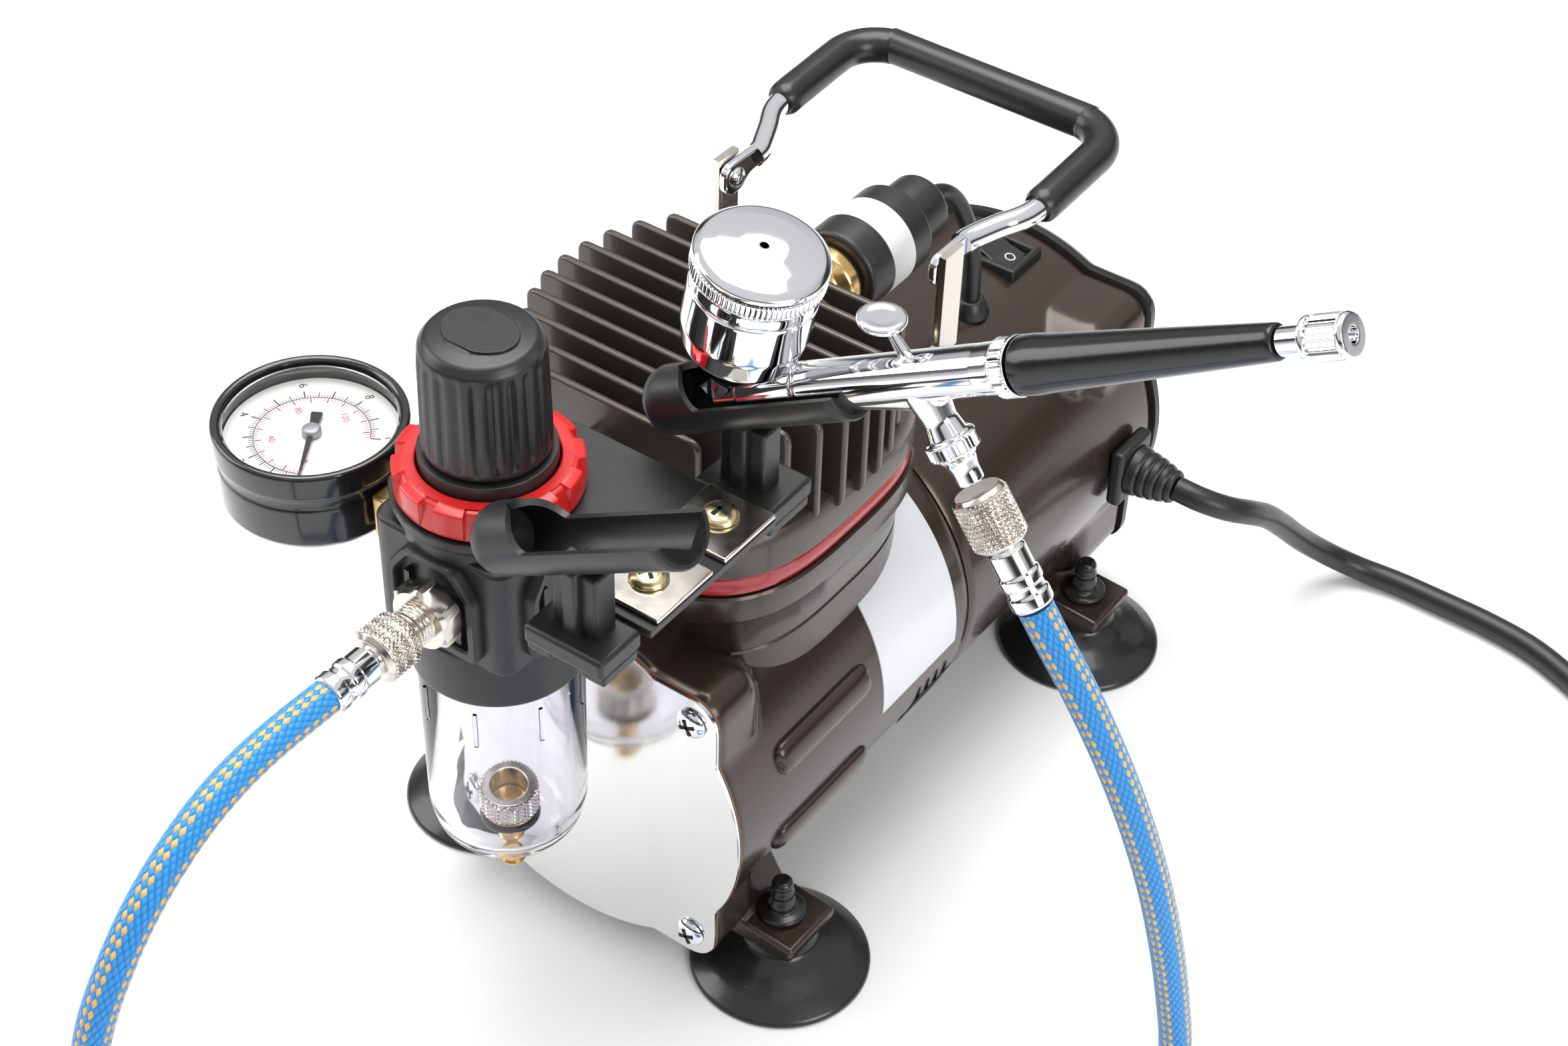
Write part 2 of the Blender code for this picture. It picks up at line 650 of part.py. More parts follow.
GLAND_Y = 82.0
gland = box("cord_gland", (49.8, GLAND_Y - 8, AXIS_Z - 9), (54, GLAND_Y + 8, AXIS_Z + 9))
join(gland, turned("nose", [(0, 13), (4.6, 13), (6.2, 8), (7.4, 0), (0, 0)], (53, GLAND_Y, AXIS_Z), X, 16))
black_rubber(gland)

# ---------------------------------------------------------------- airbrush

def on_brush(s, up=0.0, across=0.0):
    """A point of the airbrush: its distance from the nozzle's tip, and how far it is above and beside the axis."""
    return TIP + ALONG * s + ABOVE * up + Y * across


brush = turned("airbrush_body", [
    (0, 89), (6.0, 89), (6.0, 85), (5.3, 84.5), (5.15, 60), (5.15, 17), (4.7, 16.5), (4.7, 10), (3.6, 8), (3.0, 2),
    (0.9, 0), (0, 0),
], TIP, ALONG, 20)
fairing = rod("fairing", 3.4, on_brush(40, -2.0), on_brush(68, -4.4), 14)
stem = turned("stem", [
    (0, 20), (2.8, 20), (4.2, 13.5), (5.4, 13), (5.4, 9.5), (4.2, 9), (4.2, -6), (0, -6),
], STEM_TOP, STEM, 16)
cup = turned("cup", [
    (0, -2.6), (14.1, -2.6), (14.1, -6), (13.5, -6.6), (13.5, -20), (12.2, -26), (8.9, -30.5), (4.8, -33.4), (4.2, -41),
    (0, -41),
], CUP_TOP, CUP_AXIS, 22)
join(brush, fairing, stem, cup)
cut(
    brush,
    turned("cup_inside", [
        (0, 2), (12.7, 2), (12.7, -20), (11, -25), (7.6, -29.4), (2, -31.4), (0, -31.4),
    ], CUP_TOP, CUP_AXIS, 22),
)
slot = box("slot", (-6, -1.7, -7), (6, 1.7, 4.5))
slot.matrix_world = Matrix.Translation(on_brush(64.5, 2.95) * MM) @ Matrix((ALONG, Y, ABOVE)).transposed().to_4x4()
valve_bore = rod("valve_bore", 1.9, STEM_TOP - STEM * 5.6, STEM_TOP + STEM * 15, 16)
cut(brush, slot, valve_bore)
chrome(brush)

lid = turned("cup_lid", [
    (0, 1.2), (8, 0.9), (12.6, 0), (14.1, -1.0), (14.1, -2.3), (12.3, -2.3), (12.3, -4.5), (0, -4.5),
], CUP_TOP, CUP_AXIS, 22)
chrome(lid)

plunger = rod("air_valve_plunger", 1.5, STEM_TOP - STEM * 4, STEM_TOP + STEM * 12, 12)
chrome(plunger)
TRIGGER_FOOT = on_brush(63.0, 0.6)
trigger = rod("trigger", 1.35, TRIGGER_FOOT, on_brush(60.5, 12.0), 8)
pad_axis = ABOVE * 0.86 + ALONG * 0.5
pad = turned("pad", [(0, 1.2), (4, 1.0), (5.2, 0), (4.2, -1.2), (0, -1.6)], on_brush(60.0, 12.6), pad_axis, 20)
join(trigger, pad)
origin_on(trigger, TRIGGER_FOOT)
chrome(trigger)

brush_handle = turned("airbrush_handle", [
    (0, 146.3), (3.3, 146.3), (3.5, 145.5), (4.4, 125), (5.6, 96), (5.9, 93), (5.9, 89.3), (0, 89.3),
], TIP, ALONG, 20)
finish(brush_handle, (0.012, 0.012, 0.013), 0.1, 0.25)
needle_knob = turned("needle_knob", [
    (0, 161), (3.8, 161), (4.2, 160.4), (4.2, 152), (2.6, 151.7), (2.6, 146.6), (0, 146.6),
], TIP, ALONG, 16)
chrome(needle_knob)

fitting_b = turned("hose_fitting_b", [
    (0, 49), (4.5, 49), (4.4, 36), (3.2, 35.4), (5.7, 34.6), (5.7, 22), (4.4, 20.4), (0, 20.4),
], STEM_TOP, STEM, 16)
nickel(fitting_b)

# ---------------------------------------------------------------- hose and power cord

def smooth_route(places, spacing, lowest):
    """Points about a spacing apart along a Catmull-Rom curve through the places, none below the lowest."""
    places = [Vector(p) for p in places]
    padded = [2 * places[0] - places[1]] + places + [2 * places[-1] - places[-2]]
    fine = []
    for a, b, c, d in zip(padded, padded[1:], padded[2:], padded[3:]):
        for k in range(12):
            t = k / 12
            fine.append(0.5 * (2 * b + (c - a) * t + (2 * a - 5 * b + 4 * c - d) * t * t
                               + (3 * b - a - 3 * c + d) * t ** 3))
    fine.append(places[-1])
    lengths = [0.0]
    for a, b in zip(fine, fine[1:]):
        lengths.append(lengths[-1] + (b - a).length)
    count = max(2, round(lengths[-1] / spacing))
    found, k = [], 0
    for i in range(count + 1):
        want = lengths[-1] * i / count
        while k < len(fine) - 2 and lengths[k + 1] < want:
            k += 1
        part = (want - lengths[k]) / (lengths[k + 1] - lengths[k])
        point = fine[k].lerp(fine[k + 1], min(1.0, part))
        point.z = max(point.z, lowest)
        found.append(point)
    return found


def coil_ring(name, centre, mean_r, thickness, steps=22):
    """The outer shape of a neat coil, two turns wide and two high, on the floor."""
    low, high, chamfer = mean_r - thickness, mean_r + thickness, thickness * 0.35
    profile = [
        (high - chamfer, 2 * thickness), (high, 2 * thickness - chamfer), (high, chamfer), (high - chamfer, 0),
        (low + chamfer, 0), (low, chamfer), (low, 2 * thickness - chamfer), (low + chamfer, 2 * thickness),
    ]
    return turned(name, profile, (*centre, 0), Z, steps, ring=True)


HOSE_COIL = (112.0, -172.0)
HOSE_COIL_R = 5.5 * HOSE_D
HOSE_A_ROUTE = [
    (2.5, -174.6, 147), (2.5, -186, 147.3), (2.4, -198, 146.3), (2.2, -209, 143), (2, -219, 137.5), (1.6, -228, 130),
    (1, -236, 120), (0, -242.5, 107.5), (-1, -247, 90), (-1.5, -250, 70), (-1, -252.5, 50), (1, -256, 31),
    (7, -260.5, 15), (18, -263, 5.5), (31, -260.5, 3.9), (43, -253.5, 3.9), (54, -243.5, 3.9), (64, -231.5, 3.9),
    (73.5, -222.3, 3.9), (83.2, -218.4, 3.9),
]
HOSE_B_ROUTE = [
    (158.4, -143, 9.5), (159.6, -131, 6.3), (161.2, -118, 4.2), (161.8, -105, 3.9), (160.6, -92, 5.5),
    (158.5, -80, 12), (156.4, -71.5, 24), (154, -68, 40), (151.3, -69, 58), (148.6, -71.5, 76), (144.6, -74.5, 96),
    (139.3, -77.5, 115), (132.5, -80.2, 133), (124.5, -82.5, 149.5), (117.3, -84, 161.5), (113.2, -84.5, 168.0),
]
CORD_COIL = (229.5, 171.5)
CORD_COIL_R = 6 * CORD_D
CORD_ROUTE = [
    (68.1, 82, 61), (73, 83, 60.2), (79, 89, 57.5), (82, 99, 51), (83.2, 111, 41), (84.2, 123, 28.5), (87, 134, 16),
    (92.5, 142, 7.2), (102, 146, 3.6), (114, 147, 3.6), (128, 147, 3.6), (142, 147, 3.6), (157, 145.5, 3.6),
    (174, 139.5, 3.6), (188, 131, 3.6), (202.3, 126.1, 3.6),
]

hose_finish = (0.02, 0.22, 0.62), 0.0, 0.45
finish(tube("hose_lead_a", smooth_route(HOSE_A_ROUTE, 20, HOSE_D / 2), HOSE_D / 2, 2), *hose_finish)
finish(tube("hose_lead_b", smooth_route(HOSE_B_ROUTE, 20, HOSE_D / 2), HOSE_D / 2, 2), *hose_finish)
finish(coil_ring("hose_coil", HOSE_COIL, HOSE_COIL_R, HOSE_D), *hose_finish)
black_rubber(tube("power_lead", smooth_route(CORD_ROUTE, 15, CORD_D / 2), CORD_D / 2, 2))
black_rubber(coil_ring("power_coil", CORD_COIL, CORD_COIL_R, CORD_D))

PLUG_START = Vector((CORD_COIL[0] + CORD_COIL_R + 3.5, CORD_COIL[1] + 27, 13.2))
ROUND = [2 * pi * i / 20 for i in range(20)]
plug = lofted("power_plug", [
    [PLUG_START + Vector((wide * cos(a), along, high * sin(a))) for a in ROUND]
    for along, wide, high in ((0, 4.6, 4.6), (20, 6, 6), (26, 15, 12), (34, 18.5, 13), (58, 18.5, 13))
])
for side in (-1, 1):
    x = PLUG_START.x + side * 9.5
    y, z = PLUG_START.y, PLUG_START.z
    join(plug, rod(f"pin_{side}", 2.4, (x, y + 55, z), (x, y + 77, z), 8))
black_plastic(plug)

# ---------------------------------------------------------------- the object's own frame

frame = bpy.data.objects.new("compressor", None)
frame.location = (-MIDDLE_X * MM, -MIDDLE_Y * MM, 0)
PARTS.objects.link(frame)
for obj in [*PARTS.objects, *TOOLS.objects]:
    if obj is not frame:
        obj.parent = frame
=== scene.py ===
"""The looks of an airbrush compressor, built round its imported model.

Lengths are in the pump's own millimetres: X to its right, Y from the regulator to the motor's rear, Z up from
the floor, with the motor's axis along Y over X = 0. place() turns them into the model's metres.
"""

from math import cos, pi, radians, sin

import bmesh
import bpy
import numpy as np
from mathutils import Matrix, Vector


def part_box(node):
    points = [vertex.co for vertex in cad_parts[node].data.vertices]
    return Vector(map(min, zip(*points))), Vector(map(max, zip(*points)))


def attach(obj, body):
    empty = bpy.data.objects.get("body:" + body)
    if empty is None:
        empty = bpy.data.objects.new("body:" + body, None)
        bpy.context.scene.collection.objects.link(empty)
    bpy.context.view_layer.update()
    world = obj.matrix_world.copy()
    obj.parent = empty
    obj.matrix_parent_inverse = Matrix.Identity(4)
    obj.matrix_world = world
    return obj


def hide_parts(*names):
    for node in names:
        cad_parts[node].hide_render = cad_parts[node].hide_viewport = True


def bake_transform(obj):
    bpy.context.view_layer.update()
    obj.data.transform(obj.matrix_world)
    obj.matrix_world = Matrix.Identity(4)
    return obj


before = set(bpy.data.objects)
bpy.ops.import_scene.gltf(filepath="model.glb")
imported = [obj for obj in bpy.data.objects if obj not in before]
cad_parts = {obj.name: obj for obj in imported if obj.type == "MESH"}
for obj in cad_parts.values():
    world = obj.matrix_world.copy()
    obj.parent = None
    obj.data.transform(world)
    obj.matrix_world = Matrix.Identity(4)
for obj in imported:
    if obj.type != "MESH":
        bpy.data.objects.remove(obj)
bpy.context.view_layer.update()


# ---------------------------------------------------------------- camera, light and floor
# The compressor stands on a white table in soft light: a big overhead lamp, a weaker one on each side, and a
# pale room for the polished metal to show. The camera looks down on it from its front right.

MM = 0.001
STATOR_FRONT = 25.0
stator_low, stator_high = np.array(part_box("stator"))
PUMP_ZERO = np.array([(stator_low[0] + stator_high[0]) / 2, stator_low[1] - STATOR_FRONT * MM, 0.0])


def place(points):
    """Points in the pump's millimetres, as the model's metres: point / 1000 + the pump's own zero."""
    return np.asarray(points, float) * MM + PUMP_ZERO


CAMERA_AT = (290.6, -434.3, 532.4)
CAMERA_TURN, CAMERA_DIP, CAMERA_ROLL = radians(-34.33), radians(41.52), radians(2.02)

ahead = Vector((sin(CAMERA_TURN) * cos(CAMERA_DIP), cos(CAMERA_TURN) * cos(CAMERA_DIP), -sin(CAMERA_DIP)))
level = ahead.cross(Vector((0, 0, 1))).normalized()
upward = level.cross(ahead)
right = level * cos(CAMERA_ROLL) + upward * sin(CAMERA_ROLL)
upward = upward * cos(CAMERA_ROLL) - level * sin(CAMERA_ROLL)
camera = bpy.data.objects.new("camera", bpy.data.cameras.new("camera"))
camera.data.lens = 61.2
camera.data.sensor_width = 36.0
camera.data.clip_start = 0.01
turned = Matrix((right, upward, -ahead)).transposed().to_4x4()
camera.matrix_world = Matrix.Translation(Vector(place(CAMERA_AT))) @ turned
bpy.context.scene.collection.objects.link(camera)
bpy.context.scene.camera = camera


def lamp(name, at, aim, size, power):
    """A square soft lamp at a point, turned towards another."""
    data = bpy.data.lights.new(name, "AREA")
    data.size = size
    data.energy = power
    obj = bpy.data.objects.new(name, data)
    at, aim = Vector(place(at)), Vector(place(aim))
    obj.matrix_world = Matrix.Translation(at) @ (at - aim).to_track_quat("Z", "Y").to_matrix().to_4x4()
    bpy.context.scene.collection.objects.link(obj)


lamp("overhead", (-150, 150, 1150), (20, -20, 60), 0.9, 15.0)
lamp("left_side", (-900, -500, 650), (0, 0, 80), 0.7, 6.0)
lamp("right_side", (900, -250, 520), (0, 0, 80), 0.5, 4.5)

world = bpy.data.worlds.new("room")
world.use_nodes = True
sky = world.node_tree.nodes["Background"]
sky.inputs["Strength"].default_value = 0.80
looking = world.node_tree.nodes.new("ShaderNodeTexCoord")
height = world.node_tree.nodes.new("ShaderNodeSeparateXYZ")
bands = world.node_tree.nodes.new("ShaderNodeValToRGB")
world.node_tree.links.new(looking.outputs["Generated"], height.inputs[0])
world.node_tree.links.new(height.outputs["Z"], bands.inputs["Fac"])
world.node_tree.links.new(bands.outputs["Color"], sky.inputs["Color"])
WALL_BANDS = [(0.0, 0.30), (0.10, 0.05), (0.24, 0.06), (0.30, 0.62), (0.52, 0.85), (1.0, 0.95)]
bands.color_ramp.elements.remove(bands.color_ramp.elements[0])
bands.color_ramp.elements[0].position = WALL_BANDS[0][0]
for spot, _ in WALL_BANDS[1:]:
    bands.color_ramp.elements.new(spot)
for element, (spot, shade) in zip(bands.color_ramp.elements, WALL_BANDS):
    element.color = (shade, shade * 1.005, shade * 1.015, 1)
bpy.context.scene.world = world
bpy.context.scene.view_settings.view_transform = "Standard"

FLOOR_REACH = 4.0


def material(
    name, colour, metallic, roughness, grain, bump, spread=0.08, shade=0.12, stretch=(1, 1, 1), coat=0.0,
):
    """A finish whose gloss and shade wander over the piece, with a fine grain in its surface.

    One noise, about 8 grains wide, moves the roughness by the spread either way and the colour by the shade.
    A second, as fine as the grain in millimetres, lifts the surface by the bump in millimetres.
    """
    made = bpy.data.materials.new(name)
    made.use_nodes = True
    nodes, links = made.node_tree.nodes, made.node_tree.links
    shader = nodes["Principled BSDF"]
    shader.inputs["Metallic"].default_value = metallic
    shader.inputs["Coat Weight"].default_value = coat
    where = nodes.new("ShaderNodeTexCoord")
    mapping = nodes.new("ShaderNodeMapping")
    mapping.inputs["Scale"].default_value = stretch
    links.new(where.outputs["Object"], mapping.inputs["Vector"])
    broad = nodes.new("ShaderNodeTexNoise")
    broad.inputs["Scale"].default_value = 1 / (8 * grain * MM)
    broad.inputs["Detail"].default_value = 4.0
    links.new(mapping.outputs["Vector"], broad.inputs["Vector"])
    gloss = nodes.new("ShaderNodeMapRange")
    gloss.inputs["To Min"].default_value = max(0.02, roughness - spread)
    gloss.inputs["To Max"].default_value = roughness + spread
    links.new(broad.outputs["Fac"], gloss.inputs["Value"])
    links.new(gloss.outputs["Result"], shader.inputs["Roughness"])
    tint = nodes.new("ShaderNodeMixRGB")
    tint.inputs["Color1"].default_value = (*[c * (1 - shade) for c in colour], 1)
    tint.inputs["Color2"].default_value = (*[min(1.0, c * (1 + shade)) for c in colour], 1)
    links.new(broad.outputs["Fac"], tint.inputs["Fac"])
    links.new(tint.outputs["Color"], shader.inputs["Base Color"])
    fine = nodes.new("ShaderNodeTexNoise")
    fine.inputs["Scale"].default_value = 1 / (grain * MM)
    fine.inputs["Detail"].default_value = 3.0
    links.new(mapping.outputs["Vector"], fine.inputs["Vector"])
    relief = nodes.new("ShaderNodeBump")
    relief.inputs["Strength"].default_value = 1.0
    relief.inputs["Distance"].default_value = bump * MM
    links.new(fine.outputs["Fac"], relief.inputs["Height"])
    links.new(relief.outputs["Normal"], shader.inputs["Normal"])
    return made


floor_mesh = bpy.data.meshes.new("floor")
corners = [
    (-FLOOR_REACH, -FLOOR_REACH), (FLOOR_REACH, -FLOOR_REACH), (FLOOR_REACH, FLOOR_REACH),
    (-FLOOR_REACH, FLOOR_REACH),
]
floor_mesh.from_pydata([(x, y, -0.0002) for x, y in corners], [], [(0, 1, 2, 3)])
floor_mesh.materials.append(material("table_white", (0.86, 0.86, 0.86), 0.0, 0.6, 3.0, 0.01, 0.05, 0.004))
floor = bpy.data.objects.new("floor", floor_mesh)
bpy.context.scene.collection.objects.link(floor)


# ---------------------------------------------------------------- motor and crankcase housings
# Two die-cast aluminium shells that meet at a seam, sprayed dark bronze with a fine metal flake. Each flares
# from a round barrel to a square with round corners, where the end plate's screws go in.

AXIS_Z = 61.0
SHELL_R = 49.5
SQUARE, CORNER_R = 43.8, 7.5
SEAM_Y = 5.0


def new_piece(name, verts, faces, look, sharp=34, uv=None):
    """A mesh object from points in millimetres, facing outwards, and smooth except at its sharp edges.

    An edge is sharp where its faces turn by more than the sharp angle. A UV map, where there is one, gives a
    pair for each corner of each face in turn.
    """
    verts = place(verts)
    mesh = bpy.data.meshes.new(name)
    mesh.from_pydata(verts.tolist(), [], faces)
    if uv is not None:
        mesh.uv_layers.new(name="along_and_around").data.foreach_set(
            "uv", np.asarray(uv, np.float32).ravel(),
        )
    bm = bmesh.new()
    bm.from_mesh(mesh)
    bmesh.ops.recalc_face_normals(bm, faces=bm.faces)
    bm.to_mesh(mesh)
    bm.free()
    mesh.shade_smooth()
    mesh.set_sharp_from_angle(angle=radians(sharp))
    mesh.materials.append(look)
    obj = bpy.data.objects.new(name, mesh)
    bpy.context.scene.collection.objects.link(obj)
    return obj


def skin(name, rows, look, loop=False, sharp=34):
    """A surface over a grid of points, joined round each row, with a fan at each end unless its rows loop."""
    rows = np.asarray(rows, float)
    count, around = rows.shape[:2]
    index = np.arange(count * around).reshape(count, around)
    near, far = (index, np.roll(index, -1, 0)) if loop else (index[:-1], index[1:])
    faces = np.stack([near, np.roll(near, -1, 1), np.roll(far, -1, 1), far], -1).reshape(-1, 4).tolist()
    verts = rows.reshape(-1, 3)
    if not loop:
        middles = np.array([rows[0].mean(0), rows[-1].mean(0)])
        verts = np.concatenate([verts, middles])
        for ring, middle in ((index[0], count * around), (index[-1][::-1], count * around + 1)):
            fan = np.stack([np.roll(ring, -1), ring, np.full(around, middle)], -1)
            faces += fan.tolist()
    return new_piece(name, verts, faces, look, sharp)


def rides(piece, body, slot, *nodes):
    """The piece moves with a body and stands for the nodes, which it hides; the slot is not used."""
    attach(piece, body)
    if nodes:
        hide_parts(*nodes)
    return piece


def shell_section(y, square, inset=0.0, circle=SHELL_R, around=192):
    """A circle joined with a round-cornered square: the further of the two at each angle, less the inset."""
    angle = np.linspace(0, 2 * pi, around, endpoint=False)
    u, v = np.abs(np.cos(angle)), np.abs(np.sin(angle))
    centre = SQUARE - CORNER_R
    reach = centre * (u + v)
    corner = reach + np.sqrt(np.maximum(reach * reach - 2 * centre * centre + CORNER_R * CORNER_R, 0))
    flat = SQUARE / np.maximum(u, v)
    outer = np.where(SQUARE * np.minimum(u, v) <= centre * np.maximum(u, v), flat, corner)
    r = np.maximum(circle, square * outer) - inset
    return np.stack([r * np.cos(angle), np.full(around, float(y)), AXIS_Z + r * np.sin(angle)], -1)


def shell_rows(places, flares, rim):
    """Sections along the barrel, its flare a smooth step between the given values, each end rounded in."""
    low, high = places[0], places[-1]
    stations = np.linspace(low, high, 70)
    spot = np.clip(np.searchsorted(places, stations, "right") - 1, 0, len(places) - 2)
    part = (stations - np.array(places)[spot]) / np.diff(places)[spot]
    ease = part * part * (3 - 2 * part)
    flare = np.array(flares)[spot] * (1 - ease) + np.array(flares)[spot + 1] * ease
    inset = rim * np.exp(-np.minimum(stations - low, high - stations) / 0.35)
    return [shell_section(y, f, i) for y, f, i in zip(stations, flare, inset)]


def flake_paint(name, colour, roughness):
    """Clear-coated metallic paint: cells a third of a millimetre wide, each a flake of its own brightness."""
    made = material(name, colour, 0.55, roughness, 0.25, 0.003, 0.02, 0.05, coat=0.35)
    nodes, links = made.node_tree.nodes, made.node_tree.links
    shader = nodes["Principled BSDF"]
    where = nodes["Texture Coordinate"]
    flakes = nodes.new("ShaderNodeTexVoronoi")
    flakes.inputs["Scale"].default_value = 1 / (0.32 * MM)
    links.new(where.outputs["Object"], flakes.inputs["Vector"])
    bright = nodes.new("ShaderNodeMixRGB")
    bright.blend_type = "MULTIPLY"
    bright.inputs["Fac"].default_value = 0.22
    links.new(nodes["Mix (Legacy)"].outputs["Color"], bright.inputs["Color1"])
    links.new(flakes.outputs["Color"], bright.inputs["Color2"])
    links.new(bright.outputs["Color"], shader.inputs["Base Color"])
    shader.inputs["Coat Roughness"].default_value = 0.12
    return made


bronze = flake_paint("bronze_paint", (0.056, 0.040, 0.031), 0.27)
crankcase = skin(
    "crankcase_shell", shell_rows([-95.3, -83, -69, SEAM_Y - 0.3], [1.0, 1.0, 0.8, 0.8], 0.7), bronze,
)
rides(crankcase, "root", "bronze_paint", "crankcase_housing")
motor = skin(
    "motor_shell", shell_rows([SEAM_Y + 0.3, 55, 68, 80, 98], [0.8, 0.8, 0.93, 1.0, 1.0], 0.7), bronze,
)
rides(motor, "root", "bronze_paint", "motor_housing")


def slab(name, outline, low, high, axis, look, bevel=0.5):
    """A flat outline, in (y, z), (x, z) or (x, y), drawn out along X, Y or Z, its rims rounded by a bevel."""
    outline = np.asarray(outline, float)
    count = len(outline)
    verts = np.concatenate([np.insert(outline, "XYZ".index(axis), at, axis=1) for at in (low, high)])
    ring = np.arange(count)
    sides = np.stack([ring, np.roll(ring, -1), np.roll(ring, -1) + count, ring + count], -1)
    faces = sides.tolist() + [ring[::-1].tolist(), (ring + count).tolist()]
    obj = new_piece(name, verts, faces, look)
    if bevel:
        soft = obj.modifiers.new("bevel", "BEVEL")
        soft.width = bevel * MM
        soft.segments = 3
        soft.limit_method = "ANGLE"
        soft.angle_limit = radians(40)
    return obj


def block(name, low, high, look, bevel=0.5):
    """A box between two corners, with its edges rounded."""
    outline = [(low[0], low[1]), (high[0], low[1]), (high[0], high[1]), (low[0], high[1])]
    return slab(name, outline, low[2], high[2], "Z", look, bevel)


def rib(name, side, rise, low, high, width, height):
    """A raised rib along the barrel, an ellipse across, that drops to nothing at each end.

    Its size at each place is the root of one less the fourteenth power of the distance from its middle.
    """
    t = np.linspace(-1, 1, 60)[:, None]
    fade = np.sqrt(np.maximum(1 - np.abs(t) ** 14, 0))
    across = np.linspace(0, 2 * pi, 24, endpoint=False)[None, :]
    angle = radians(rise)
    out = np.array([side * cos(angle), 0, sin(angle)])
    over = np.array([-side * sin(angle), 0, cos(angle)])
    middle = np.array([0, (low + high) / 2, AXIS_Z]) + out * SHELL_R
    along = t[..., None] * np.array([0, (high - low) / 2, 0])
    sweep_out = (height * fade * np.sin(across))[..., None] * out
    sweep_over = (width * (0.25 + 0.75 * fade) * np.cos(across))[..., None] * over
    return skin(name, middle + along + sweep_out + sweep_over, bronze, sharp=60)


# A black for painted shade: it stands for the dark insides of the vent slots and of the screws' crosses.
painted_shade_black = material("painted_shade_black", (0.006, 0.006, 0.006), 0.0, 0.7, 0.5, 0.02)
for side, hand in ((-1, "left"), (1, "right")):
    for number, rise in enumerate((16, -16)):
        piece = rib(f"crankcase_rib_{hand}_{number}", side, rise, -78, -40, 4.6, 2.4)
        rides(piece, "root", "bronze_paint")
    # Each vent slot is a thin black strip laid on the barrel: painted shade for the opening.
    for number, y in enumerate((-14, -10, -6, -2)):
        slot = rib(f"vent_slot_shade_{hand}_{number}", side, -24, y - 0.9, y + 0.9, 9.0, 0.25)
        slot.data.materials[0] = painted_shade_black
        rides(slot, "root", "black_cover")


FOOT_X, FOOT_Y = 47.6, 73.5
EAR_OUTLINE = [(14, 12.4), (56, 12.4), (57.4, 14), (57.4, 17.4), (42, 18.4), (35, 30), (28, 27)]
EAR_HALF_WIDTH = 9.5


def foot_ear(name, side, end):
    """The cast ear under one corner: an outline with a sloping top that runs in under the barrel."""
    outline = [(side * x, z) for x, z in EAR_OUTLINE]
    middle = end * FOOT_Y
    return slab(name, outline, middle - EAR_HALF_WIDTH, middle + EAR_HALF_WIDTH, "Y", bronze, 1.6)


for side, hand in ((-1, "left"), (1, "right")):
    for end, place_name in ((-1, "front"), (1, "rear")):
        rides(foot_ear(f"foot_ear_{place_name}_{hand}", side, end), "root", "bronze_paint")

label_white = material("label_white", (0.72, 0.73, 0.75), 0.3, 0.35, 2.0, 0.004, 0.05, 0.03)
turn = np.radians(np.linspace(-3.5, 50.0, 40))[None, :]
label_y = np.array([-35.0, -34.9, -2.1, -2.0])[:, None]
label_r = SHELL_R + np.array([0.02, 0.28, 0.28, 0.02])[:, None]
outer = np.stack([label_r * np.cos(turn), label_y + 0 * turn, AXIS_Z + label_r * np.sin(turn)], -1)
inner = np.stack(
    [(label_r - 0.6) * np.cos(turn), label_y + 0 * turn, AXIS_Z + (label_r - 0.6) * np.sin(turn)], -1,
)
label = skin("blank_label", np.concatenate([outer, inner[:, ::-1]], 1), label_white)
rides(label, "root", "nickel")

rim_black = material("rim_black", (0.014, 0.013, 0.013), 0.1, 0.35, 0.6, 0.02)
rear_rows = [shell_section(98.3, 1.0, 0.3), shell_section(98.8, 1.0, -0.9), shell_section(101, 1.0, -0.9)]
rear_rows += [shell_section(103.2, 1.0, 0.6), shell_section(104, 1.0, 2.4), shell_section(104, 1.0, 14)]
rides(skin("rear_cover", rear_rows, rim_black), "root", "black_cover", "rear_cap")


# ---------------------------------------------------------------- front plate and its screws
# A plate of bright rolled steel closes the crankcase, over a thin brown gasket. Four pan-head screws with
# cross recesses hold it at its corners.

mirror_steel = material(
    "mirror_steel", (0.78, 0.78, 0.77), 1.0, 0.14, 0.6, 0.004, 0.05, 0.03, stretch=(1, 1, 0.08),
)
gasket_brown = material("gasket_brown", (0.20, 0.11, 0.06), 0.0, 0.7, 0.4, 0.05)
chrome = material("chrome", (0.86, 0.87, 0.89), 1.0, 0.045, 3.0, 0.0004, 0.012, 0.02)
nickel = material("nickel", (0.66, 0.62, 0.56), 1.0, 0.20, 0.5, 0.006, 0.08, 0.08)

PLATE_R = 50.5
PLATE_EDGE = ((-95.9, 0.1), (-96.0, 0), (-96.6, 0), (-96.8, 0.2), (-96.8, 5))
GASKET_EDGE = ((-95.3, 0.4), (-95.4, -0.1), (-95.8, -0.1), (-95.85, 0.4))
plate_rows = [shell_section(y, 1.0, inset, PLATE_R) for y, inset in PLATE_EDGE]
rides(skin("front_plate_steel", plate_rows, mirror_steel), "root", "mirror_plate", "front_plate")
gasket_rows = [shell_section(y, 1.0, inset, PLATE_R) for y, inset in GASKET_EDGE]
rides(skin("plate_gasket", gasket_rows, gasket_brown), "root", "red_gasket")


def unit(vector):
    """The vector at length one."""
    return np.asarray(vector, float) / np.linalg.norm(vector)


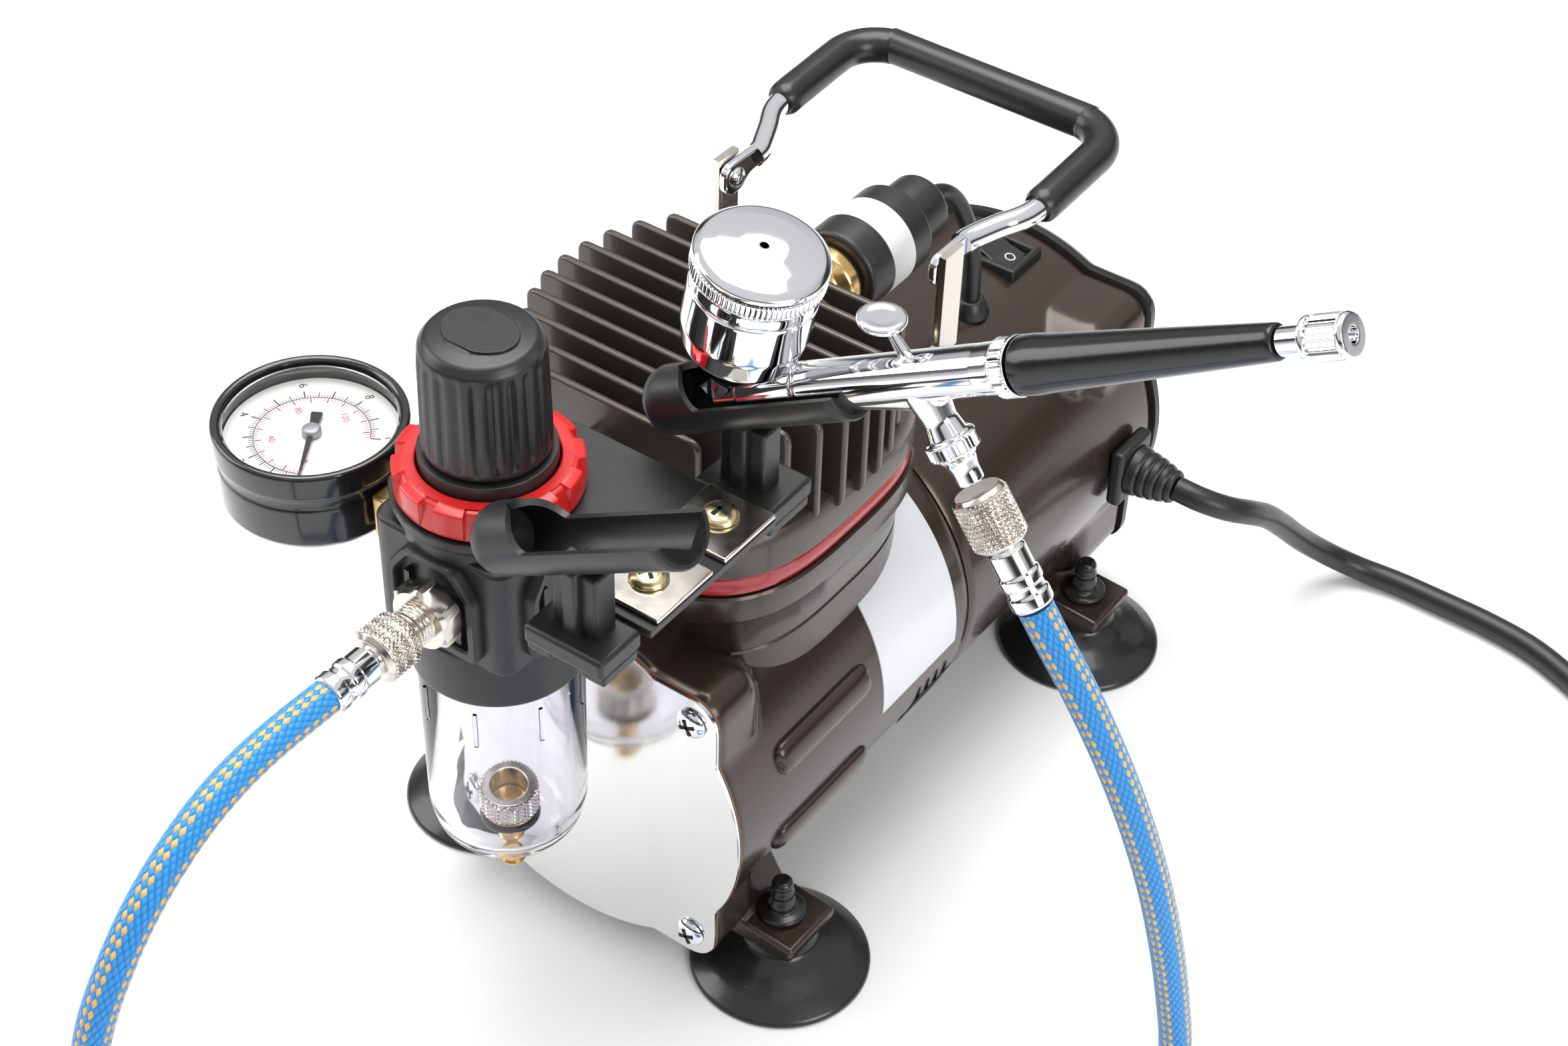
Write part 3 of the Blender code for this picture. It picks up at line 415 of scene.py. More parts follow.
def rounded(outline, radius, loop=False, steps=4):
    """Each corner becomes a quadratic arc that starts and ends a radius away, or near its sides' middles."""
    p = np.asarray(outline, float)
    back, on = np.roll(p, 1, 0) - p, np.roll(p, -1, 0) - p
    back_length = np.linalg.norm(back, axis=1, keepdims=True)
    on_length = np.linalg.norm(on, axis=1, keepdims=True)
    start = p + back * np.minimum(radius / back_length, 0.48)
    end = p + on * np.minimum(radius / on_length, 0.48)
    t = np.linspace(0, 1, steps + 1)[None, :, None]
    arcs = (1 - t) ** 2 * start[:, None] + 2 * t * (1 - t) * p[:, None] + t * t * end[:, None]
    if loop:
        return arcs.reshape(-1, p.shape[1])
    return np.concatenate([p[:1], arcs[1:-1].reshape(-1, p.shape[1]), p[-1:]])


def lathe(name, profile, at, axis, look, around=96, soft=0.4, loop=False, ripple=None, step=0.0, sharp=34):
    """A (radius, height) profile, its corners rounded, carried once round an axis.

    Each point is at + radius (cos a side + sin a over) + height axis. A ripple gives the radius again from
    the angle, the radius and the height, for flutes and knurls. A step adds points that far apart along the
    profile.
    """
    profile = rounded(profile, soft, loop) if soft else np.asarray(profile, float)
    if step:
        length = np.concatenate([[0], np.cumsum(np.linalg.norm(np.diff(profile, axis=0), axis=1))])
        t = np.unique(np.concatenate([length, np.arange(0, length[-1], step)]))
        profile = np.stack([np.interp(t, length, profile[:, k]) for k in (0, 1)], -1)
    axis = unit(axis)
    side = unit(np.cross((0, 1, 0) if abs(axis[1]) < 0.9 else (0, 0, 1), axis))
    over = np.cross(axis, side)
    angle = np.linspace(0, 2 * pi, around, endpoint=False)[None, :]
    r, h = np.maximum(profile[:, :1], 0.01) + 0 * angle, profile[:, 1:] + 0 * angle
    if ripple:
        r = ripple(angle, r, h)
    rows = np.asarray(at, float) + (r * np.cos(angle))[..., None] * side + (
        r * np.sin(angle)
    )[..., None] * over
    return skin(name, rows + h[..., None] * axis, look, loop, sharp)


def phillips(name, at, axis, radius, look, slot_name, turn=0.4):
    """A pan-head screw: a low dome with a black cross let into its top, painted shade for the hollow cross.
    """
    axis = unit(axis)
    height = radius * 0.55
    profile = [(0, height), (radius * 0.62, height * 0.92), (radius, height * 0.42), (radius, 0), (0, 0)]
    head_piece = lathe(name, profile, at, axis, look, 40, radius * 0.3)
    rides(head_piece, "root", slot_name)
    side = unit(np.cross((0, 1, 0) if abs(axis[1]) < 0.9 else (0, 0, 1), axis))
    over = np.cross(axis, side)
    # Two crossed black bars: painted shade where the head is hollowed out.
    for number in (0, 1):
        bearing = turn + number * pi / 2
        along = side * cos(bearing) + over * sin(bearing)
        across = np.cross(axis, along)
        corner = [(-1, -1), (1, -1), (1, 1), (-1, 1)]
        rows = [
            [
                np.asarray(at) + axis * rise + radius * (along * 0.55 * u + across * 0.11 * v)
                for u, v in corner
            ]
            for rise in (height * 0.5, height * 1.03)
        ]
        rides(skin(f"{name}_recess_shade_{number}", rows, painted_shade_black), "root", "black_cover")


for side, hand in ((-1, "left"), (1, "right")):
    for rise, level_name in ((-36.5, "low"), (36.5, "high")):
        phillips(
            f"plate_screw_{hand}_{level_name}", (side * 36.8, -96.8, AXIS_Z + rise), (0, -1, 0), 4.0,
            chrome, "chrome",
        )


# ---------------------------------------------------------------- feet
# Four black rubber suction feet, each pushed through a hole in its ear until its neck snaps in, with the
# ribbed nipple that pulls it through left standing above.

foot_rubber = material("foot_rubber", (0.011, 0.011, 0.011), 0.0, 0.28, 0.8, 0.02, 0.08, coat=0.15)
FOOT = [
    (0, 29.7), (2.2, 29.6), (2.9, 28.2), (2.5, 27.2), (3.2, 25.4), (2.8, 24.2), (3.6, 22), (3.6, 20.2),
    (6.2, 19.6), (6.2, 18.2), (4.6, 18), (4.6, 12.2), (8.2, 12.0), (9.3, 9.5), (13, 7.1), (18.5, 4.4),
    (23.0, 1.4), (23.2, 0.0), (20, 0.0), (8, 2.3), (0, 2.3),
]
for end, place_name in ((-1, "front"), (1, "rear")):
    for side, hand in ((-1, "left"), (1, "right")):
        foot = lathe(
            f"suction_foot_{place_name}_{hand}", FOOT, (side * FOOT_X, end * FOOT_Y, 0), (0, 0, 1),
            foot_rubber,
            72, 0.8,
        )
        rides(foot, "root", "foot_rubber", f"foot_{place_name}_{hand}")


# ---------------------------------------------------------------- pump block, gasket and finned head
# The cylinder's block stands on the crankcase, with a dark-red rubber band under the head. The head is cast
# in one with ten thin fins, a web across them and the bosses for the regulator and the pressure switch.

PUMP_Y = -42.5
UP = np.array([0.0, 0.0, 1.0])


def block_section(z, scale):
    """A superellipse of power 3.2, 87 mm by 90 mm, scaled."""
    angle = np.linspace(0, 2 * pi, 144, endpoint=False)
    c, s = np.cos(angle), np.sin(angle)
    x = 43.5 * scale * np.abs(c) ** (2 / 3.2) * np.sign(c)
    y = 45.0 * scale * np.abs(s) ** (2 / 3.2) * np.sign(s)
    return np.stack([x, PUMP_Y + y, np.full(144, float(z))], -1)


def bored(name, levels, look, radius=21.5, wall=0.0):
    """A block's sections, with a hole up the middle.

    Each point of an inside section is the outside one, moved along its bearing from the bore's axis to the
    radius, or in by a share of its distance where a wall is given.
    """
    outside = np.array([block_section(z, scale) for z, scale in levels])
    away = outside - np.array([0, PUMP_Y, 0]) - outside[..., 2:] * UP
    reach = np.linalg.norm(away, axis=-1, keepdims=True)
    inside = outside - away * (wall if wall else 1 - radius / reach)
    return skin(name, np.concatenate([outside, inside[::-1]]), look, loop=True)


deck = bored("crankcase_deck", ((72, 0.93), (100.2, 0.93), (100.7, 0.92)), bronze, wall=0.1)
rides(deck, "root", "bronze_paint")
block_levels = (
    (101, 0.92), (101.4, 0.93), (111, 0.95), (112, 0.965), (113.6, 0.995), (114.4, 1.0), (120.6, 1.0),
    (121.2, 0.99),
)
rides(bored("pump_block", block_levels, bronze), "root", "bronze_paint", "cylinder_block")

head_paint = flake_paint("head_paint", (0.082, 0.067, 0.056), 0.34)
gasket_red = material("gasket_red", (0.36, 0.010, 0.016), 0.0, 0.25, 1.0, 0.01, 0.06, coat=0.4)
band_levels = ((121.5, 0.975), (122, 0.985), (124, 0.992), (126.2, 0.985), (126.7, 0.975))
rides(bored("gasket_band", band_levels, gasket_red), "root", "red_gasket", "head_gasket")
head_levels = ((127, 0.985), (127.6, 1.0), (134, 1.0), (136, 0.99), (137.4, 0.97), (137.5, 0.9))
head = skin("finned_head", [block_section(z, k) for z, k in head_levels], head_paint)
rides(head, "root", "bronze_paint", "cylinder_head")
FIN_STEP = 7.24
for number in range(10):
    y = -79.5 + FIN_STEP * number
    reach = np.sqrt(44.5**2 - (y - PUMP_Y) ** 2)
    outline = rounded(
        [(1 - reach, 134), (1 - reach, 162.5), (1 + reach, 162.5), (1 + reach, 134)], 3.0, True,
    )
    fin = slab(f"fin_{number}", outline, y - 1.0, y + 1.0, "Y", head_paint, 0.7)
    rides(fin, "root", "bronze_paint")
rides(block("fin_web", (-1.5, -80, 134), (0.5, -13, 156), head_paint, 0.6), "root", "bronze_paint")
boss = lathe(
    "inlet_boss", [(0, 15.5), (7, 15.5), (7, 0), (0, 0)], (0, -78, 147), (0, -1, 0), head_paint, 48, 0.8,
)
rides(boss, "root", "bronze_paint")
rides(block("switch_boss", (-8, -16, 132), (15, -8.3, 158), head_paint, 1.2), "root", "bronze_paint")


# ---------------------------------------------------------------- pressure regulator
# A satin-black cast body with a framed port on each side and a round collar that takes the bowl. Its bonnet
# comes up through the holder plate, where a notched red ring clamps it, and the knob pulls up to turn.

REG = np.array([0.0, -118.9, 0.0])
PORT_Z = 147.0

satin_black = material("satin_black", (0.014, 0.014, 0.015), 0.0, 0.38, 0.35, 0.02, 0.07)
collar = [
    (0, 163.3), (19.2, 163.3), (20, 162), (20, 158), (17, 157), (17, 134), (20, 132), (20, 118),
    (19.1, 117.5), (19.1, 124.3), (0, 124.3),
]
rides(
    lathe("regulator_collar", collar, REG, UP, satin_black, 128, 0.9), "root", "black_plastic",
    "regulator_body",
)
cube = rounded([(-18.4, -137.3), (18.4, -137.3), (18.4, -100.5), (-18.4, -100.5)], 5.0, True, 8)
rides(slab("regulator_block", cube, 131, 160, "Z", satin_black, 1.0), "root", "black_plastic")

PORT_OUTLINE = rounded(
    [(-12, 134), (12, 134), (12, 151), (6.5, 158.5), (-6.5, 158.5), (-12, 151)], 2.0, True,
)


def port_frame(name, out):
    """A house-shaped frame: its outline at the block, at its face, drawn in by 2.2 mm, and sunk 2.6 mm."""
    out = np.asarray(out, float)
    across = np.cross(UP, out)
    middle = PORT_OUTLINE.mean(0)
    shrink = 1 - 2.2 / 12
    rows = []
    for scale, reach in (
        (1, 15), (1, 20.4), (0.97, 21), (shrink + 0.03, 21), (shrink, 20.4), (shrink, 18.6),
    ):
        flat = middle + (PORT_OUTLINE - middle) * scale
        rows.append(REG + out * reach + flat[:, :1] * across + flat[:, 1:] * UP)
    rides(skin(name, rows, satin_black), "root", "black_plastic")
    for number, shift in enumerate((-6.8, 6.8)):
        low, high = np.array([shift - 0.7, 137.5]), np.array([shift + 0.7, 151])
        square = np.array([(low[0], low[1]), (high[0], low[1]), (high[0], high[1]), (low[0], high[1])])
        flat = square[:, :1] * across + square[:, 1:] * UP
        rib_rows = [REG + out * reach + flat for reach in (17.5, 20.2)]
        rides(skin(f"{name}_rib_{number}", rib_rows, satin_black), "root", "black_plastic")


for side_name, direction in (
    ("front", (0, -1, 0)), ("left", (-1, 0, 0)), ("right", (1, 0, 0)), ("rear", (0, 1, 0)),
):
    port_frame(f"port_frame_{side_name}", direction)
link = lathe(
    "rear_port_tube", [(0, 0), (6, 0), (6, -6), (0, -6)], REG + (0, 25, PORT_Z), (0, 1, 0), satin_black, 48,
    0.3,
)
rides(link, "root", "black_plastic")

lip = [(14.9, 176), (14.9, 163.6), (12, 163.6), (12, 168), (3.5, 168), (3.5, 172), (11, 174), (11, 176)]
rides(
    lathe("bonnet_lip", lip, REG, UP, satin_black, 96, 0.35, True), "root", "black_plastic",
    "regulator_bonnet",
)

ring_red = material("ring_red", (0.62, 0.014, 0.014), 0.0, 0.30, 0.5, 0.01, 0.06, coat=0.2)


def castellated(angle, r, h):
    """Twelve notches 1.5 mm deep round the upper outside edge, each a third of its pitch wide."""
    notch = (np.cos(12 * angle) > 0.5) & (r > 18) & (h > 168.6)
    return np.where(notch, r - 1.5, r)


red_ring = [(18.2, 173.2), (20.4, 172.4), (20.4, 166.2), (15.3, 166.2), (15.3, 173.2)]
rides(
    lathe("clamp_ring", red_ring, REG, UP, ring_red, 288, 0.5, True, castellated), "root", "red_plastic",
    "panel_ring",
)


def fluted(angle, r, h):
    """Twenty-two shallow round flutes that start above the knob's foot and run out at its shoulder."""
    run = np.clip((h - 178) / 2, 0, 1) * np.clip((202.5 - h) / 2.5, 0, 1) * (r > 12.2)
    return r - 0.55 * run * (0.5 - 0.5 * np.cos(22 * angle)) ** 2


KNOB = [
    (0, 205.7), (7, 205.5), (11.6, 204.7), (13.2, 202.6), (13.5, 199), (13.9, 178), (13.6, 176.6),
    (12, 176.5), (12, 190), (0, 190),
]
knob_black = material("knob_black", (0.013, 0.013, 0.014), 0.0, 0.34, 0.3, 0.018, 0.06)
rides(
    lathe("pull_knob", KNOB, REG, UP, knob_black, 264, 0.8, False, fluted, 0.6), "knob", "black_plastic",
    "adjust_knob",
)
half = np.radians(np.linspace(-70, 250, 41))
mark = np.stack(
    [8.8 * np.cos(half) + REG[0], 8.0 * np.sin(half) * np.where(np.sin(half) < 0, 0.9, 0.82) + REG[1]], -1,
)
rides(slab("knob_top_panel", mark, 205.0, 205.85, "Z", knob_black, 0.18), "knob", "black_plastic")


# ---------------------------------------------------------------- filter bowl, filter element and drain
# A clear moulded bowl twists up into the regulator's collar. A sintered bronze filter hangs inside it, and
# a drain valve with a knurled nickel nut and a barbed brass stem comes out through its rounded bottom.

clear_bowl = bpy.data.materials.new("clear_bowl")
clear_bowl.use_nodes = True
bowl_nodes, bowl_links = clear_bowl.node_tree.nodes, clear_bowl.node_tree.links
bowl_shader = bowl_nodes["Principled BSDF"]
bowl_shader.inputs["Base Color"].default_value = (0.94, 0.93, 0.97, 1)
bowl_shader.inputs["Transmission Weight"].default_value = 1.0
bowl_shader.inputs["IOR"].default_value = 1.35
bowl_where = bowl_nodes.new("ShaderNodeTexCoord")
bowl_haze = bowl_nodes.new("ShaderNodeTexNoise")
bowl_haze.inputs["Scale"].default_value = 1 / (9 * MM)
bowl_links.new(bowl_where.outputs["Object"], bowl_haze.inputs["Vector"])
bowl_gloss = bowl_nodes.new("ShaderNodeMapRange")
bowl_gloss.inputs["To Min"].default_value = 0.01
bowl_gloss.inputs["To Max"].default_value = 0.05
bowl_links.new(bowl_haze.outputs["Fac"], bowl_gloss.inputs["Value"])
bowl_links.new(bowl_gloss.outputs["Result"], bowl_shader.inputs["Roughness"])

BOWL = [
    (18.8, 124), (18.5, 72), (17.2, 66), (14, 61.8), (9.5, 60), (3.5, 60), (3.5, 62.6), (8.2, 62.6),
    (12.6, 64.2), (15.2, 67.6), (16.2, 73), (16.6, 124),
]
rides(
    lathe("clear_filter_bowl", BOWL, REG, UP, clear_bowl, 128, 1.6, True), "bowl", "bowl_clear",
    "filter_bowl",
)
for number in range(8):
    bearing = 2 * pi * (number + 0.5) / 8
    out = np.array([cos(bearing), sin(bearing), 0.0])
    over = np.cross(UP, out)
    square = [(-0.45, 104), (0.45, 104), (0.45, 114), (-0.45, 114)]
    rows = [[REG + out * reach + over * u + UP * v for u, v in square] for reach in (18.4, 19.2)]
    rides(skin(f"bowl_rib_{number}", rows, clear_bowl), "bowl", "bowl_clear")

sintered = material("sintered_bronze", (0.42, 0.27, 0.13), 0.85, 0.55, 0.22, 0.10, 0.1, 0.25)
ELEMENT = [(0, 124), (4, 124), (4, 122.3), (8.6, 122.3), (9.5, 121.4), (9.5, 110), (8.6, 109), (0, 109)]
rides(
    lathe("bronze_filter", ELEMENT, REG, UP, sintered, 72, 0.5), "root", "sintered_bronze",
    "filter_element",
)
brass_gold = material("brass", (0.72, 0.49, 0.20), 1.0, 0.22, 0.4, 0.006, 0.08, 0.1)


def barbed(angle, r, h):
    """Rings 2.4 mm apart that rise slowly and fall at once, below the bowl."""
    return np.where((h < 60) & (r > 1.6), r + 0.45 * ((h / 2.4) % 1.0) - 0.2, r)


DRAIN = [
    (0, 67), (4.4, 67), (4.4, 65.5), (6.2, 65.5), (6.2, 63.2), (3.1, 63.2), (3.1, 48), (2.2, 46), (0, 46),
]
rides(
    lathe("drain_stem", DRAIN, REG, UP, brass_gold, 64, 0.25, False, barbed, 0.3), "drain", "brass",
    "drain_valve",
)


def knurled(angle, r, h, radius=6.9, count=18, depth=0.3):
    """Crossed diagonal grooves that leave small diamonds on whatever reaches the radius."""
    pitch = pi * radius / count
    first, second = count * angle + h * pi / pitch, count * angle - h * pi / pitch
    return np.where(
        r > radius - 0.35,
        r - depth + depth * 2 * np.minimum(abs(np.sin(first)), abs(np.sin(second))) ** 0.8, r,
    )


nut = [(4.5, 72.4), (6.6, 72.4), (7.0, 72), (7.0, 66.8), (4.5, 66.8)]
rides(lathe("drain_nut", nut, REG, UP, nickel, 160, 0.3, True, knurled, 0.3), "drain", "nickel")
o_ring = [(6.9, 65.0), (7.3, 64.2), (6.9, 63.4), (6.1, 63.4), (6.1, 65.0)]
rides(lathe("drain_o_ring", o_ring, REG, UP, foot_rubber, 64, 0.3, True), "drain", "black_plastic")


# ---------------------------------------------------------------- gauge
# A stepped black steel case on a square brass fitting. Under its clear lens are a white dial with a black
# scale outside and a red one inside, and a black needle on a grey hub.

GAUGE = np.array([-52.5, -118.9, 0.0])
SCALE_START, SCALE_SWEEP = radians(-58), radians(270)
DIAL_Z = 151.5

gloss_black = material("gloss_black", (0.012, 0.012, 0.013), 0.0, 0.16, 1.0, 0.006, 0.06, coat=0.5)
CASE = [
    (0, 151.2), (19.8, 151.2), (19.8, 156.8), (20.6, 157.5), (21.6, 157.5), (22.1, 156.8), (22.1, 151.2),
    (21.4, 150.2), (21.2, 148), (21.6, 147.2), (21.6, 138), (20.2, 136), (0, 136),
]
rides(lathe("gauge_housing", CASE, GAUGE, UP, gloss_black, 128, 0.5), "root", "black_plastic", "gauge_case")
dial_white = material("dial_white", (0.83, 0.83, 0.80), 0.0, 0.45, 1.5, 0.003, 0.05, 0.02)
face = [(0, DIAL_Z), (19.5, DIAL_Z), (19.5, 151.25), (0, 151.25)]
rides(lathe("gauge_dial", face, GAUGE, UP, dial_white, 96, 0.05), "root", "gauge_glass")
print_black = material("print_black", (0.02, 0.02, 0.02), 0.0, 0.5, 1.0, 0.002)
print_red = material("print_red", (0.55, 0.02, 0.02), 0.0, 0.5, 1.0, 0.002)


def dial_angle(value):
    """The bearing of a value from 0 to 10, which runs clockwise."""
    return SCALE_START - SCALE_SWEEP * np.asarray(value, float) / 10


def ticks(name, values, inner, outer, width, look):
    """A thin bar for each value, square to the dial's rim."""
    angle = dial_angle(values)
    out = np.stack([np.cos(angle), np.sin(angle), 0 * angle], -1)
    over = np.stack([-np.sin(angle), np.cos(angle), 0 * angle], -1) * width / 2
    flat = np.stack([out * inner - over, out * outer - over, out * outer + over, out * inner + over], 1)
    verts = np.concatenate([flat + UP * (DIAL_Z - 0.02), flat + UP * (DIAL_Z + 0.05)], 1) + GAUGE
    shape = np.array([(3, 2, 1, 0), (4, 5, 6, 7), (0, 1, 5, 4), (1, 2, 6, 5), (2, 3, 7, 6), (3, 0, 4, 7)])
    faces = (shape[None] + 8 * np.arange(len(angle))[:, None, None]).reshape(-1, 4)
    return rides(new_piece(name, verts.reshape(-1, 3), faces.tolist(), look), "root", "gauge_glass")


def numerals(name, words, radius, size, look):
    """Upright figures, each a mesh made from type, centred at its value's bearing."""
    verts, faces = [], []
    for value, word in words:
        data = bpy.data.curves.new(word, "FONT")
        data.body = word
        data.size = size
        data.extrude = 0.03
        data.resolution_u = 3
        data.align_x = "CENTER"
        data.align_y = "CENTER"
        typed = bpy.data.objects.new(word, data)
        mesh = bpy.data.meshes.new_from_object(typed)
        spots = np.empty(len(mesh.vertices) * 3)
        mesh.vertices.foreach_get("co", spots)
        spots = spots.reshape(-1, 3)
        angle = float(dial_angle(value))
        facing = -0.6
        turned_x = spots[:, 0] * cos(facing) - spots[:, 1] * sin(facing)
        turned_y = spots[:, 0] * sin(facing) + spots[:, 1] * cos(facing)
        middle = GAUGE + (radius * cos(angle), radius * sin(angle), DIAL_Z + 0.01)
        start = sum(len(v) for v in verts)
        verts.append(np.stack([turned_x, turned_y, spots[:, 2]], -1) + middle)
        faces += [[start + k for k in polygon.vertices] for polygon in mesh.polygons]
        bpy.data.objects.remove(typed)
    return rides(new_piece(name, np.concatenate(verts), faces, look), "root", "gauge_glass")


ticks("dial_ticks_main", np.arange(0, 11), 12.9, 15.1, 0.32, print_black)
ticks("dial_ticks_half", np.arange(0.5, 10, 1), 12.9, 14.4, 0.24, print_black)
ticks(
    "dial_ticks_fine", np.setdiff1d(np.round(np.arange(0, 10.05, 0.1), 2), np.arange(0, 10.5, 0.5)), 12.9,
    13.8, 0.13, print_black,
)
ticks("dial_ticks_red", np.arange(0, 10.1, 0.69), 11.0, 12.5, 0.28, print_red)
ticks("dial_ticks_red_fine", np.arange(0, 10.0, 0.138), 11.7, 12.5, 0.12, print_red)
sweep_values = np.arange(0, 10, 0.05) + 0.025
arc_width = 2 * pi * 12.8 * (270 / 360) / 200 * 1.05
ticks("dial_arc", sweep_values, 12.65, 12.85, arc_width, print_black)
numerals("dial_numbers", [(v, str(v)) for v in (0, 2, 4, 6, 8, 10)], 17.1, 2.9, print_black)
numerals("dial_numbers_red", [(v * 0.069, str(v)) for v in (0, 40, 80, 120)], 8.9, 2.1, print_red)

clear_lens = clear_bowl.copy()
clear_lens.name = "clear_lens"
clear_lens.node_tree.nodes["Principled BSDF"].inputs["Base Color"].default_value = (0.98, 0.98, 0.98, 1)
clear_lens.node_tree.nodes["Principled BSDF"].inputs["IOR"].default_value = 1.2
LENS = [(0, 156.6), (10, 156.5), (19.4, 156.1), (19.4, 155), (0, 155)]
rides(lathe("gauge_window", LENS, GAUGE, UP, clear_lens, 96, 0.2), "root", "gauge_glass", "gauge_lens")

pointer = np.array(
    [
        (-6.5, -1.1), (-5.8, -1.4), (-1.5, -0.8), (15.6, -0.16), (16.2, 0), (15.6, 0.16), (-1.5, 0.8),
        (-5.8, 1.4), (-6.5, 1.1),
    ]
)
pointed = pointer[:, :1] * [cos(SCALE_START), sin(SCALE_START)] + pointer[:, 1:] * [
    -sin(SCALE_START), cos(SCALE_START),
]
needle = slab("dial_needle", pointed + GAUGE[:2], 152.1, 152.6, "Z", gloss_black, 0.12)
rides(needle, "needle", "black_plastic", "gauge_needle")
hub_grey = material("hub_grey", (0.35, 0.35, 0.36), 0.6, 0.35, 0.5, 0.004)
rides(
    lathe(
        "needle_hub", [(0, 153.6), (1.7, 153.5), (2.2, 153), (2.2, 151.7), (0, 151.7)], GAUGE, UP, hub_grey,
        48, 0.3,
    ),
    "needle", "black_plastic",
)
rides(
    block("gauge_elbow", (-30.0, -124.9, 138), (-21.3, -112.9, 150), brass_gold, 0.9), "root", "brass",
    "gauge_fitting",
)


# ---------------------------------------------------------------- outlet and hose fittings
# Nickel-plated brass: a hexagon screwed into the regulator with a threaded neck, and on each end of the
# hose a diamond-knurled nut with a crimped ferrule.

OUTLET = np.array([2.5, -140.2, PORT_Z])
FORWARD = np.array([0.0, -1.0, 0.0])


def hexagonal(angle, r, h):
    """Whatever is outside 6 mm is held to a hexagon 14.2 mm across its flats."""
    flat = 7.1 / np.cos((angle + pi / 6) % (pi / 3) - pi / 6)
    return np.where(r > 6, np.minimum(r, flat), r)


def threaded(angle, r, h):
    """A helical thread of 1 mm pitch."""
    return np.where(r > 3, r - 0.28 + 0.28 * np.cos(2 * pi * h - angle), r)


HEXAGON = [(0, 6), (7.0, 6), (8.2, 5.2), (8.2, 0.8), (7.0, 0), (0, 0)]
rides(
    lathe("outlet_hexagon", HEXAGON, OUTLET, FORWARD, nickel, 144, 0, ripple=hexagonal), "root", "nickel",
    "outlet_fitting",
)
NECK = [(0, 10.4), (4.2, 10.4), (4.7, 9.8), (4.7, 5.9), (0, 5.9)]
rides(
    lathe("outlet_thread", NECK, OUTLET, FORWARD, nickel, 72, 0.1, ripple=threaded, step=0.12), "root",
    "nickel",
)


def fitting_skins(name, at, axis, body, node, radius, start, nut_length, ferrule_end, ferrule_r):
    """A knurled nut with plain rims, a groove, and a ferrule crimped in two bands, along one axis."""
    def diamonds(angle, r, h):
        """The diamond knurl between the nut's two rims, and nothing elsewhere."""
        inside = (h > start + 1.2) & (h < start + nut_length - 1.2)
        return np.where(inside, knurled(angle, r, h, radius, 16), r)

    end = start + nut_length
    nut_profile = [
        (0, end), (radius - 1.2, end), (radius, end - 1), (radius, start + 1), (radius - 0.8, start),
        (0, start),
    ]
    piece = lathe(f"{name}_nut", nut_profile, at, axis, nickel, 192, 0.3, ripple=diamonds, step=0.22)
    rides(piece, body, "nickel", node)
    tip = ferrule_end
    band = ferrule_r - 0.45
    profile = [
        (0, tip), (ferrule_r - 0.3, tip), (ferrule_r, tip - 0.6), (ferrule_r, tip - 3), (band, tip - 3.5),
        (band, tip - 5), (ferrule_r, tip - 5.5), (ferrule_r, tip - 7.6), (band, tip - 8.1),
        (band, end + 1.2), (3.3, end + 0.6), (3.3, end - 0.2), (0, end - 0.2),
    ]
    rides(lathe(f"{name}_ferrule", profile, at, axis, chrome, 72, 0.25), body, "nickel")


fitting_skins(
    "hose_fitting_front", OUTLET + FORWARD * 10.7, FORWARD, "root", "hose_fitting_a", 6.2, 0, 10, 23.4, 4.7,
)


# ---------------------------------------------------------------- holder plate and the two airbrush holders
# A black steel plate clamped under the red ring carries two moulded troughs on posts. A bright clip plate
# with one zinc screw holds each trough down.

def softened(node, look, bevel, piece_name, body, slot):
    """A copy of a CAD node with its loose triangles merged, its flat faces joined, and its edges rounded."""
    mesh = bpy.data.meshes.new(piece_name)
    bm = bmesh.new()
    bm.from_mesh(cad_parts[node].data)
    bmesh.ops.remove_doubles(bm, verts=bm.verts, dist=0.00001)
    bmesh.ops.dissolve_limit(bm, angle_limit=radians(1), verts=bm.verts, edges=bm.edges)
    bm.to_mesh(mesh)
    bm.free()
    mesh.shade_smooth()
    mesh.set_sharp_from_angle(angle=radians(34))
    mesh.materials.clear()
    mesh.materials.append(look)
    obj = bpy.data.objects.new(piece_name, mesh)
    bpy.context.scene.collection.objects.link(obj)
    if bevel:
        soft = obj.modifiers.new("bevel", "BEVEL")
        soft.width = bevel * MM
        soft.segments = 3
        soft.limit_method = "ANGLE"
        soft.angle_limit = radians(40)
    return rides(obj, body, slot, node)


TILT = radians(30.4)
ALONG = np.array([cos(TILT), 0.0, sin(TILT)])
ABOVE = np.array([-sin(TILT), 0.0, cos(TILT)])
ACROSS = np.array([0.0, 1.0, 0.0])
BRUSH_Y = -84.5
yellow_zinc = material("yellow_zinc", (0.72, 0.60, 0.34), 1.0, 0.26, 0.4, 0.006, 0.08, 0.2)

softened("holder_plate", satin_black, 0.5, "regulator_plate", "root", "black_plastic")


